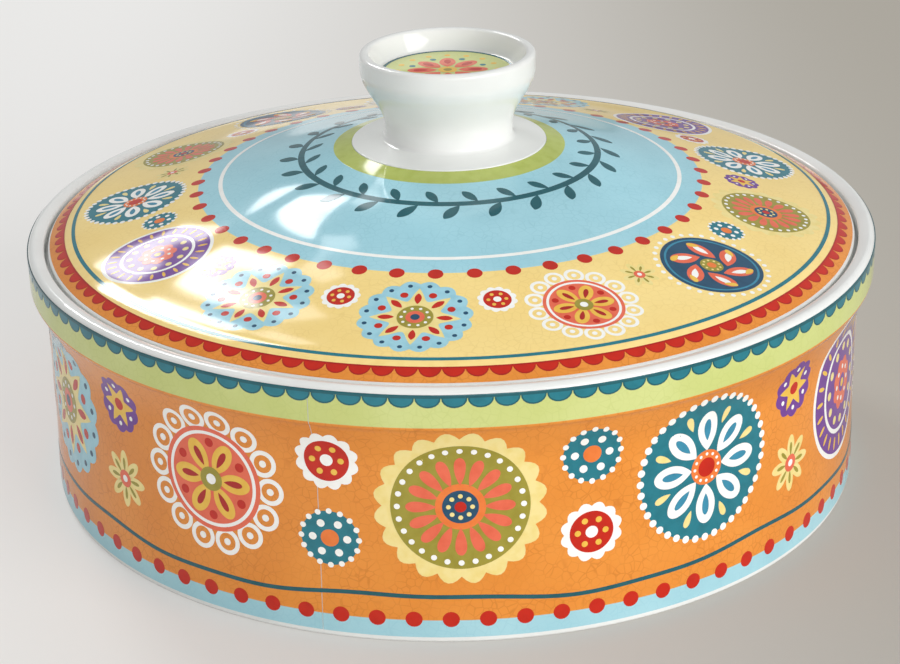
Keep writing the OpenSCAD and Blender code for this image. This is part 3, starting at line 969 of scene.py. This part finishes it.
def drawn_ring(settings):
    """The flat mesh of one ring, as points, faces and its ink."""
    key = str(sorted((k, str(v)) for k, v in settings.items()))
    if key not in ring_cache:
        mesh = run_tree(marks, "ring", bpy.data.meshes.new("start"), settings)
        ring_cache[key] = ([tuple(v.co) for v in mesh.vertices], [tuple(f.vertices) for f in mesh.polygons])
        bpy.data.meshes.remove(mesh)
    return *ring_cache[key], settings["Ink"]


def draw(name, rings, size=1.0):
    """Joins rings into one flat drawing in metres. The size changes the drawing, not its thickness."""
    points, faces, finishes, face_inks = [], [], [], []
    for ring_points, ring_faces, finish in (drawn_ring(r) for r in rings):
        if finish not in finishes:
            finishes.append(finish)
        first = len(points)
        points += [(x * size * MM, y * size * MM, z * MM) for x, y, z in ring_points]
        faces += [[first + i for i in face] for face in ring_faces]
        face_inks += [finishes.index(finish)] * len(ring_faces)
    mesh = bpy.data.meshes.new(name)
    mesh.from_pydata(points, [], faces)
    for finish in finishes:
        mesh.materials.append(finish)
    mesh.polygons.foreach_set("material_index", face_inks)
    return mesh


# %% [markdown]
# ## Laying one drawing
# Every transfer goes on in the same way, so one function runs the tree, gives the marks the body's own
# shading, and tells the frame which body the piece moves with.

# %% Lay a drawing
def lay(name, drawing, on, centre, count=1, first=0.0, step=None, join_ends=False):
    """Lays a drawing on the wall (centre is a height) or on the lid or knob (centre is a radius)."""
    body, carrier, above = {"wall": (dish, "dish", False), "lid": (lid, "lid", True),
                            "knob": (knob, "lid", True)}[on]
    step = 360 / count if step is None else step
    wrap = rim_r if centre > collar_z else wall_r
    mesh = run_tree(laying, name, drawing, {
        "Body": body, "From Above": above, "Count": count, "First": math.radians(first),
        "Step": math.radians(step), "Centre": centre * MM, "Wrap Radius": wrap * MM,
        "Join Ends": join_ends})
    shading = np.zeros(3 * len(mesh.vertices), np.float32)
    mesh.attributes[NORMAL_NAME].data.foreach_get("vector", shading)
    mesh.attributes.remove(mesh.attributes[NORMAL_NAME])
    mesh.normals_split_custom_set_from_vertices(shading.reshape(-1, 3))
    piece = bpy.data.objects.new(name, mesh)
    scene.collection.objects.link(piece)
    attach(piece, carrier)
    print(f"{name}: {len(mesh.polygons)} faces")


# %% [markdown]
# ## Edgings
# The plain edgings follow an old order: scallops where a band ends at a rim, dots where two grounds
# meet, and a thin line beside them. Each scallop is a half disc, darker along its edge. A scallop is
# drawn once and repeated about 120 times round the rim, so it has only a few faces.

# %% Scallops and dots on the wall
# The direction of the camera round the axis, in degrees
FRONT = -90

SCALLOP_COUNT = 118
SCALLOP_TOP_Z = 75.75
scallop_w = math.tau * rim_r / SCALLOP_COUNT
scallop = draw("scallop", [
    ring("dark_teal", 1, toe=2.75, heel=0.12, width=scallop_w * 0.985, turn=-90, points=20),
    ring("teal", 2, toe=2.3, heel=0.1, width=scallop_w * 0.86, turn=-90, points=20)])
lay("collar_scallops", scallop, "wall", SCALLOP_TOP_Z, SCALLOP_COUNT, FRONT)

FOOT_DOT_COUNT = 78
FOOT_DOT_Z = 7.5
FOOT_DOT_TURN = 0.9
foot_dot = draw("foot_dot", [ring("red", 1, toe=2.35, points=20)])
lay("foot_dots", foot_dot, "wall", FOOT_DOT_Z, FOOT_DOT_COUNT, FRONT - FOOT_DOT_TURN)

# %% [markdown]
# ## Edgings on the lid
# The lid has red scallops at its border, and lines where the orange meets the yellow and round the blue
# disc. A line on the lid is a hoop round the axis, so it is a disc with a large hole.

# %% Scallops, lines and dots on the lid
RED_SCALLOP_COUNT = 120
RED_LINE_R = 118.9
red_scallop_w = math.tau * RED_LINE_R / RED_SCALLOP_COUNT
red_scallop = draw("red_scallop", [
    ring("dark_red", 1, toe=2.9, heel=0.1, width=red_scallop_w * 0.985, turn=90, points=20),
    ring("red", 2, toe=2.5, heel=0.1, width=red_scallop_w * 0.9, turn=90, points=20)])
lay("lid_scallops", red_scallop, "lid", RED_LINE_R, RED_SCALLOP_COUNT, FRONT)


def hoop(ink, layer, outer, inner, points=240):
    """A plain ring line round the axis."""
    return ring(ink, layer, toe=outer, hole=inner / outer, points=points)


TEAL_LINE_R, TEAL_LINE_W = 116.0, 1.1
lid_lines = draw("lid_lines", [
    hoop("red", 3, RED_LINE_R + 0.5, RED_LINE_R - 0.1),
    hoop("dark_red", 4, RED_LINE_R + 0.2, RED_LINE_R - 0.2),
    hoop("straw", 2, RED_LINE_R, TEAL_LINE_R),
    hoop("teal", 3, TEAL_LINE_R + TEAL_LINE_W / 2, TEAL_LINE_R - TEAL_LINE_W / 2)])
lay("lid_border_lines", lid_lines, "lid", 0.0)

LID_DOT_COUNT = 45
LID_DOT_R = centre_r + 0.5
LID_DOT_FIRST = -85.3
lid_dot = draw("lid_dot", [ring("red", 1, toe=2.2, points=20)])
lay("lid_dots", lid_dot, "lid", LID_DOT_R, LID_DOT_COUNT, LID_DOT_FIRST)

WHITE_LINE_OUT_R, WHITE_LINE_IN_R, GREEN_LINE_OUT_R = 71.2, 69.9, 35.5
disc_lines = draw("disc_lines", [
    hoop("white", 1, WHITE_LINE_OUT_R, WHITE_LINE_IN_R, 200),
    hoop("green", 1, GREEN_LINE_OUT_R, centre_in_r, 160)])
lay("lid_disc_lines", disc_lines, "lid", 0.0)

# %% [markdown]
# ## The top of the knob
# The recess on top of the knob holds one small flower: a ring of petals with seeds between them and
# round them. It is drawn like the edgings, as a few rings of marks.

# %% Flower on the knob
knob_flower = draw("knob_lines", [
    hoop("dark_teal", 1, knob_print_r - 0.1, knob_print_r - 1.1, 120),
    ring("yellow", 1, 16, at=15.2, toe=0.95, points=12),
    ring("coral", 1, 8, at=7.6, toe=4.6, heel=4.4, width=5.0, heel_point=0.8),
    ring("teal", 1, 8, at=11.6, toe=1.0, turn=22.5, points=12),
    ring("red", 2, 8, at=8.6, toe=1.8, heel=2.6, width=2.2, heel_point=0.8),
    ring("yellow", 2, toe=2.9), ring("olive", 3, toe=1.3, points=16)])
lay("knob_flower", knob_flower, "knob", 0.0)

# %% [markdown]
# ## The hand-drawn lines
# A thin dark line wanders round the wall above the dots, as a brush does when the ware turns under it.
# It is a strip whose height follows a slow wave and a finer ripple, drawn by its own small tree and
# laid on the wall. The line at the rim is the same strip with no slow wave.

# %% Node tree: a wandering line
brush, given = new_tree("wandering_line", [
    ("Length", "Float", 1.0), ("Thickness", "Float", 0.001), ("Low", "Float", 0.0),
    ("High", "Float", 0.0001), ("Waves", "Float", 7.0), ("Wave Height", "Float", 0.001),
    ("Wave Start", "Float", 0.0), ("Ripples", "Float", 19.0), ("Ripple Height", "Float", 0.0002),
    ("Points", "Int", 360), ("Ink", "Material", None)])
grid, corner_number, way_round = grid_place(brush, 5, given["Points"])
along_line = add(brush, "ShaderNodeMath", {0: way_round, 1: 0.5}, operation="SUBTRACT")
across = add(brush, "ShaderNodeMath", {0: along_line, 1: given["Length"]}, operation="MULTIPLY")
turn_share = add(brush, "ShaderNodeMath", {0: along_line, 1: math.tau}, operation="MULTIPLY")
wave_angle = add(brush, "ShaderNodeMath", {0: turn_share, 1: given["Waves"], 2: given["Wave Start"]},
                 operation="MULTIPLY_ADD")
wave = add(brush, "ShaderNodeMath", {0: wave_angle}, operation="SINE")
ripple_angle = add(brush, "ShaderNodeMath", {0: turn_share, 1: given["Ripples"]}, operation="MULTIPLY")
ripple = add(brush, "ShaderNodeMath", {0: ripple_angle}, operation="SINE")
ripple_z = add(brush, "ShaderNodeMath", {0: ripple, 1: given["Ripple Height"]}, operation="MULTIPLY")
middle = add(brush, "ShaderNodeMath", {0: wave, 1: given["Wave Height"], 2: ripple_z},
             operation="MULTIPLY_ADD")
quarter_turn = add(brush, "ShaderNodeMath", {0: corner_number, 1: math.pi / 2}, operation="MULTIPLY")
corner_angle = add(brush, "ShaderNodeMath", {0: quarter_turn, 1: math.pi / 4}, operation="ADD")
corner_side = add(brush, "ShaderNodeMath", {0: corner_angle}, operation="SINE")
corner_up = add(brush, "ShaderNodeMath", {0: corner_angle}, operation="COSINE")
edge_side = add(brush, "ShaderNodeMath", {0: corner_side}, operation="SIGN")
edge = add(brush, "ShaderNodeMath", {0: edge_side, 1: given["Thickness"]}, operation="MULTIPLY")
edge_y = add(brush, "ShaderNodeMath", {0: edge, 1: 0.5, 2: middle}, operation="MULTIPLY_ADD")
is_top = add(brush, "ShaderNodeMath", {0: corner_up, 1: 0.0}, operation="GREATER_THAN")
edge_z = add(brush, "ShaderNodeMapRange", {
    "Value": is_top, "To Min": given["Low"], "To Max": given["High"]})
place = add(brush, "ShaderNodeCombineXYZ", {0: across, 1: edge_y, 2: edge_z})
strip = shape_grid(brush, grid, place, TINY)
end_tree(brush, strip, given["Ink"])


def wandering_line(name, z, thickness, ripple_h, layer, wave_h=0.0, waves=1, start=0.0, low=MARK_LOW):
    """A dark line round the wall whose height wanders."""
    wrap = rim_r if z > collar_z else wall_r
    drawing = run_tree(brush, name, bpy.data.meshes.new("start"), {
        "Length": math.tau * wrap * MM, "Thickness": thickness * MM, "Low": low * MM,
        "High": layer_top(layer) * MM, "Waves": float(waves), "Wave Height": wave_h * MM,
        "Wave Start": start, "Ripple Height": ripple_h * MM, "Ink": inks["dark_teal"]})
    lay(name, drawing, "wall", z, 1, FRONT, join_ends=True)


wandering_line("foot_line", z=13.6, thickness=1.25, ripple_h=0.3, layer=2, wave_h=1.2, waves=7, start=2.4)
# The rim line lies half on the bare glaze of the rim's rounding, so it starts inside the casting.
wandering_line("rim_line", z=76.25, thickness=0.85, ripple_h=0.04, layer=3, low=-0.1)

# %% [markdown]
# ## The flowers
# Folk pottery the world over fills a wall with round flowers built from rings of petals, dots and rays.
# These are plain designs of that kind, made for this lesson. Six large ones and four small ones are
# each a short list of rings, from the outside in, and the layer says which ink lies over which.

# %% Large flowers, 42 to 45 mm across as drawn
sunburst = [
    ring("cream", 1, toe=22, lobes=20, lobe_depth=0.1, points=120),
    ring("olive", 2, toe=17.6),
    ring("white", 3, 28, at=15.9, toe=0.78, points=12),
    ring("coral", 3, 16, at=11.4, toe=2.4, heel=5.4, width=3.0, heel_point=0.9),
    ring("orange", 3, toe=6.4), ring("navy", 4, toe=4.6),
    ring("cream", 5, 8, at=3.0, toe=0.62, points=12), ring("red", 5, toe=1.5, points=16)]
daisy = [
    ring("teal", 1, toe=20.2), ring("white", 2, 40, at=20.2, toe=1.05, points=14),
    ring("cream", 2, 8, at=15.6, toe=1.5, heel=3.4, width=2.0, heel_point=0.9, turn=22.5),
    ring("white", 2, 8, at=11.2, toe=5.0, heel=6.4, width=6.2, heel_point=0.9),
    ring("light_teal", 3, 8, at=11.2, toe=2.6, heel=3.6, width=2.2, heel_point=0.9),
    ring("orange", 3, toe=4.9), ring("red", 4, toe=2.7),
    ring("white", 4, 12, at=3.8, toe=0.45, points=10)]
ticked_rings = [
    ring("white", 1, toe=21.8), ring("purple", 2, toe=20.4),
    ring("yellow", 3, 24, at=17.6, toe=1.9, heel=1.9, width=1.25, points=16),
    ring("white", 3, toe=14.6, hole=0.915), ring("cream", 3, 12, at=10.9, toe=1.25, points=16),
    ring("coral", 3, toe=7.6, lobes=8, lobe_depth=0.16, points=96),
    ring("white", 4, 8, at=4.8, toe=0.7, points=12), ring("purple", 4, toe=2.7),
    ring("yellow", 5, toe=1.3, points=16)]
star_tile = [
    ring("blue", 1, toe=21, lobes=16, lobe_depth=0.09, points=96),
    ring("navy", 2, 16, at=18.2, toe=0.9, turn=11.25, points=14),
    ring("cream", 2, toe=16.6, lobes=8, lobe_depth=-0.42, points=96),
    ring("red", 3, 8, at=11.0, toe=2.6, heel=3.4, width=2.6, toe_point=0.7, heel_point=0.7),
    ring("red", 2, 8, at=13.6, toe=1.5, turn=22.5, points=18),
    ring("olive", 3, toe=6.6), ring("white", 4, 10, at=5.0, toe=0.6, points=12),
    ring("coral", 4, toe=3.5), ring("navy", 5, toe=1.7, points=16)]
lace = [
    ring("white", 1, 14, at=17.7, toe=3.8, width=7.6, hole=0.66, points=28),
    ring("white", 2, 14, at=17.7, toe=1.0, points=14),
    ring("coral", 2, toe=14.9), ring("white", 3, toe=13.6, hole=0.93),
    ring("yellow", 3, 6, at=7.6, toe=4.2, heel=5.6, width=5.4, heel_point=0.7),
    ring("red", 3, 6, at=10.4, toe=1.3, turn=30, points=16),
    ring("dark_red", 4, 6, at=7.6, toe=2.0, heel=3.6, width=1.9, heel_point=0.9),
    ring("olive", 5, toe=3.4), ring("white", 6, toe=1.5, points=16)]
pinwheel = [
    ring("navy", 1, toe=19.4), ring("white", 1, 32, at=21.3, toe=0.95, points=12),
    ring("light_teal", 2, toe=17.9, hole=0.955),
    ring("coral", 2, 6, at=10.6, toe=5.4, heel=7.0, width=6.4, heel_point=1.0, lean=34),
    ring("white", 3, 6, at=10.9, toe=2.8, heel=4.0, width=2.6, heel_point=1.0, lean=34),
    ring("yellow", 4, 6, at=14.2, toe=1.9, heel=3.2, width=2.4, heel_point=1.0, turn=8, lean=60),
    ring("olive", 3, toe=4.4), ring("cream", 4, 9, at=3.2, toe=0.5, points=10),
    ring("orange", 4, toe=1.8)]
large = {"sunbursts": sunburst, "daisies": daisy, "ticked_rings": ticked_rings,
         "star_tiles": star_tile, "lace_flowers": lace, "pinwheels": pinwheel}
print("Large flowers:", {name: len(rings) for name, rings in large.items()})

# %% [markdown]
# ## Small flowers
# Small flowers fill the gaps between the large ones. They are seen small, so each of them is only four
# rings with few points.

# %% Small flowers, about 18 mm across as drawn
button = [
    ring("white", 1, toe=9, lobes=12, lobe_depth=0.13, points=72), ring("red", 2, toe=6.3, points=48),
    ring("yellow", 3, 6, at=4.0, toe=0.9, points=14), ring("white", 3, toe=1.8, points=20)]
sprig = [
    ring("cream", 1, 8, at=5.0, toe=4.0, heel=4.6, width=3.6, heel_point=0.9, points=20),
    ring("olive", 2, 8, at=5.0, toe=1.6, heel=2.6, width=1.2, heel_point=0.9, points=14),
    ring("coral", 2, toe=2.7), ring("white", 3, toe=1.1, points=14)]
bead = [
    ring("teal", 1, toe=8.2, points=60), ring("white", 2, 16, at=8.2, toe=0.85, points=12),
    ring("white", 2, 6, at=4.9, toe=1.15, points=14), ring("orange", 2, toe=2.6)]
spark = [
    ring("purple", 1, toe=8.8, lobes=10, lobe_depth=0.12, points=80),
    ring("yellow", 2, toe=6.8, lobes=6, lobe_depth=-0.5, points=72),
    ring("white", 2, 6, at=6.0, toe=0.7, turn=30, points=12), ring("red", 3, toe=1.9, points=20)]
small = {"buttons": button, "sprigs": sprig, "beads": bead, "sparks": spark}
print("Small flowers:", ", ".join(small))

# %% [markdown]
# ## Round the wall and round the lid
# On the wall, a large flower stands between two small ones, one above the other. There are eleven
# places for six designs, so the row doesn't repeat evenly. On the yellow ring of the lid there are
# thirteen places, with the same flowers printed smaller. A large design is one piece on the wall and one
# on the lid, and a small one is two on the wall and one on the lid.

# %% Lay the flowers
WALL_PLACES, LID_PLACES = 11, 13
WALL_FLOWER_Z, WALL_SMALL_LOW_Z, WALL_SMALL_HIGH_Z = 41.8, 30.6, 54.2
WALL_FLOWER_SIZE = 1.07
LID_FLOWER_R, LID_FLOWER_SIZE = 97.4, 0.76
LID_SMALL_R, LID_SMALL_SIZE = 90.4, 0.62
# On the lid and in the wall's upper row the designs start a few places on, so no two rows run alike
LID_SHIFT, HIGH_SHIFT = 3, 2
WALL_TURN, LID_TURN = 0.5, -6

wall_first = FRONT + WALL_TURN
lid_first = FRONT + LID_TURN
wall_between = wall_first + 180 / WALL_PLACES
lid_between = lid_first + 180 / LID_PLACES


def lay_in_places(name, rings, on, centre, places, order, step, first, size=1.0):
    """Lays one design at every step-th place round the ware."""
    pitch = 360 / places
    count = math.ceil((places - order) / step)
    drawing = draw(name, rings, size)
    lay(name, drawing, on, centre, count, first + order * pitch, step * pitch)


for order, (name, rings) in enumerate(large.items()):
    lay_in_places(f"wall_{name}", rings, "wall", WALL_FLOWER_Z, WALL_PLACES, order,
                  len(large), wall_first, WALL_FLOWER_SIZE)
    lay_in_places(f"lid_{name}", rings, "lid", LID_FLOWER_R, LID_PLACES,
                  (order + LID_SHIFT) % len(large), len(large), lid_first, LID_FLOWER_SIZE)
for order, (name, rings) in enumerate(small.items()):
    lay_in_places(f"wall_{name}_low", rings, "wall", WALL_SMALL_LOW_Z, WALL_PLACES, order,
                  len(small), wall_between)
    lay_in_places(f"wall_{name}_high", rings, "wall", WALL_SMALL_HIGH_Z, WALL_PLACES,
                  (order + HIGH_SHIFT) % len(small), len(small), wall_between)
    lay_in_places(f"lid_{name}", rings, "lid", LID_SMALL_R, LID_PLACES, order,
                  len(small), lid_between, LID_SMALL_SIZE)

# %% [markdown]
# ## A wreath on the blue disc
# A wreath of plain leaves runs round the knob: a dark stem, and on it pairs of leaves, one leaning out
# and one leaning in. The tree for marks draws all three: a hoop and two rings of pointed marks.

# %% Draw the wreath
WREATH_R = 45.5
WREATH_LEAVES = 24
STEM_W = 2.0
LEAF_OUT, LEAF_IN, LEAF_LEAN = 4.3, 3.7, 38

wreath = draw("wreath", [
    hoop("dark_teal", 1, WREATH_R + STEM_W / 2, WREATH_R - STEM_W / 2, 200),
    ring("dark_teal", 2, WREATH_LEAVES, at=WREATH_R + LEAF_OUT, toe=3.2, heel=4.4, width=3.3,
         heel_point=1.2, toe_point=0.5, lean=-LEAF_LEAN),
    ring("dark_teal", 2, WREATH_LEAVES, at=WREATH_R - LEAF_IN, toe=3.7, heel=2.8, width=2.8,
         heel_point=0.5, toe_point=1.2, lean=LEAF_LEAN, turn=180 / WREATH_LEAVES)])
lay("lid_wreath", wreath, "lid", 0.0)

# %% [markdown]
# ## The floor
# The ware stands on a pale seamless sweep. It is light on the left and a warm grey on the right. That
# grey is painted shade: it stands in for the light falling off to the right, and it is painted into the
# paper's colour, so the light on the ware stays even, and the floor still takes the soft shadow. About
# half of what the camera sees of the paper is its plain tone, which glows, and half is lit paper, which
# keeps the shadow as pale as in the photograph. The glaze mirrors lit paper only.

# %% Make the floor
FLOOR_REACH, FLOOR_SIDES = 9.0, 64
# Between these two places the paper's colour passes into painted shade, where the light falls off to the
# right
PAINTED_SHADE_START, PAINTED_SHADE_END = -0.20, 0.24
LEFT_TONE, PAINTED_SHADE_RIGHT_TONE = "#F0EFED", "#B2ADA3"
PAPER_ROUGHNESS, PAPER_SHEEN = 0.9, 0.1
SHADOW_LIFT, LIFT_LEVEL = 0.48, 0.96

floor_angles = [math.tau * i / FLOOR_SIDES for i in range(FLOOR_SIDES)]
floor_mesh = bpy.data.meshes.new("floor")
floor_mesh.from_pydata(
    [(FLOOR_REACH * math.cos(a), FLOOR_REACH * math.sin(a), 0) for a in floor_angles],
    [], [list(range(FLOOR_SIDES))])
floor = bpy.data.objects.new("floor", floor_mesh)
scene.collection.objects.link(floor)
paper, tree, coords = new_shader("matt_paper_sweep")
paper_place = add(tree, "ShaderNodeSeparateXYZ", {0: coords})
# The paper's pale tone passes into the painted shade of its right side
fade = add(tree, "ShaderNodeMapRange", {
    "Value": paper_place.outputs["X"], "From Min": PAINTED_SHADE_START, "From Max": PAINTED_SHADE_END},
    interpolation_type="SMOOTHSTEP")
tone = add(tree, "ShaderNodeMix", {0: fade, 6: to_linear(LEFT_TONE), 7: to_linear(PAINTED_SHADE_RIGHT_TONE)},
           data_type="RGBA")
lit_paper = add(tree, "ShaderNodeBsdfPrincipled", {
    "Base Color": tone.outputs[2], "Roughness": PAPER_ROUGHNESS, "Specular IOR Level": PAPER_SHEEN})
# For camera rays part of the paper glows in its own tone, which lifts the shadow
plain_tone = add(tree, "ShaderNodeEmission", {"Color": tone.outputs[2], "Strength": LIFT_LEVEL})
rays = add(tree, "ShaderNodeLightPath")
lift_share = add(tree, "ShaderNodeMath", {0: rays.outputs["Is Camera Ray"], 1: SHADOW_LIFT},
                 operation="MULTIPLY")
paper_seen = add(tree, "ShaderNodeMixShader", {0: lift_share, 1: lit_paper, 2: plain_tone})
add(tree, "ShaderNodeOutputMaterial", {"Surface": paper_seen})
floor_mesh.materials.append(paper)
print(f"Floor: {FLOOR_REACH:.0f} m to its edge")

# %% [markdown]
# ## The softboxes
# A glossy glaze shows its lights, so the lights are part of the look. Soft light comes from all round.
# A large softbox stands at the front right, and a weaker card nearly straight in front evens out the
# wall. The camera doesn't see either.

# %% Key light and front card
def softbox(name, place, aim, width, height, watts, roll=0.0):
    """A soft rectangular light that faces a point, rolled about its own axis."""
    lamp = bpy.data.lights.new(name, "AREA")
    lamp.shape = "RECTANGLE"
    lamp.size, lamp.size_y, lamp.energy = width, height, watts
    holder = bpy.data.objects.new(name, lamp)
    facing = (Vector(aim) - Vector(place)).to_track_quat("-Z", "Y").to_matrix().to_4x4()
    holder.matrix_world = Matrix.Translation(place) @ facing @ Matrix.Rotation(roll, 4, "Z")
    holder.visible_camera = False
    scene.collection.objects.link(holder)


def towards(left, up):
    """The direction that is so many degrees left of straight behind the ware, and so many up."""
    left, up = math.radians(left), math.radians(up)
    return Vector((-math.sin(left) * math.cos(up), math.cos(left) * math.cos(up), math.sin(up)))


WARE_MIDDLE = Vector((0, 0, 0.06))
BOX_DISTANCE = 2.4
# Each box: degrees left of straight behind, degrees up, width and height in metres, and watts
BOXES = {"key_softbox": (-132, 20, 1.9, 1.4, 38), "front_card": (-165, 12, 1.8, 0.9, 10)}
for name, (left, up, width, height, watts) in BOXES.items():
    softbox(name, WARE_MIDDLE + towards(left, up) * BOX_DISTANCE, WARE_MIDDLE, width, height, watts)
print("Boxes:", ", ".join(BOXES))

# %% [markdown]
# ## The window
# A window with bars stands behind on the left, low enough to mirror in the front left of the lid. Its
# panes are separate lights, each with its own share of the glow, and a pane's watts follow from its
# size. Angles are easier to judge in the lid than metres, so each pane is given by the angles it fills.

# %% Window panes
WINDOW_FROM = Vector((-0.07, -0.04, 0.09))
WINDOW_DISTANCE = 2.5
PANE_GLOW = 7.5
# Each pane: degrees left of straight behind, degrees up, degrees wide, degrees high, degrees of
# lean, and its share of the glow
PANES = {
    "low": (19.6, 27.0, 2.6, 5.0, 19, 0.8),
    "high": (18.7, 37.7, 2.6, 9.0, 19, 1.3),
    "side": (13.2, 44.5, 2.4, 4.6, 19, 0.4),
    "outer": (28.0, 41.0, 12.0, 23.0, 4, 1.5)}
for name, (left, up, wide, high, lean, share) in PANES.items():
    pane_w = 2 * WINDOW_DISTANCE * math.tan(math.radians(wide) / 2)
    pane_h = 2 * WINDOW_DISTANCE * math.tan(math.radians(high) / 2)
    watts = PANE_GLOW * share * math.pi * pane_w * pane_h
    place = WINDOW_FROM + towards(left, up) * WINDOW_DISTANCE
    softbox(f"window_pane_{name}", place, WINDOW_FROM, pane_w, pane_h, watts, math.radians(lean))
print(f"{len(PANES)} window panes")

# %% [markdown]
# ## The room
# The room round the ware is a soft, nearly white light. The glaze mirrors it a little darker than it
# lights, which keeps the prints' colours full, and the camera sees it as a plain pale backdrop.

# %% World light
WORLD_LIGHT, MIRRORED_ROOM = 0.46, 0.4
ROOM_COLOUR, BACKDROP_COLOUR = "#FDFEFF", "#E4E3DF"

world = bpy.data.worlds.new("soft_room")
scene.world = world
world.use_nodes = True
sky = world.node_tree
sky.nodes.clear()
rays = add(sky, "ShaderNodeLightPath")
glow = add(sky, "ShaderNodeMix", {
    0: rays.outputs["Is Glossy Ray"], 2: WORLD_LIGHT, 3: MIRRORED_ROOM}, data_type="FLOAT")
light = add(sky, "ShaderNodeBackground", {"Color": to_linear(ROOM_COLOUR), "Strength": glow})
backdrop = add(sky, "ShaderNodeBackground", {"Color": to_linear(BACKDROP_COLOUR), "Strength": 1.0})
both = add(sky, "ShaderNodeMixShader", {0: rays.outputs["Is Camera Ray"], 1: light, 2: backdrop})
add(sky, "ShaderNodeOutputWorld", {"Surface": both})
scene.view_settings.view_transform = "Standard"
print(f"World light {WORLD_LIGHT}")
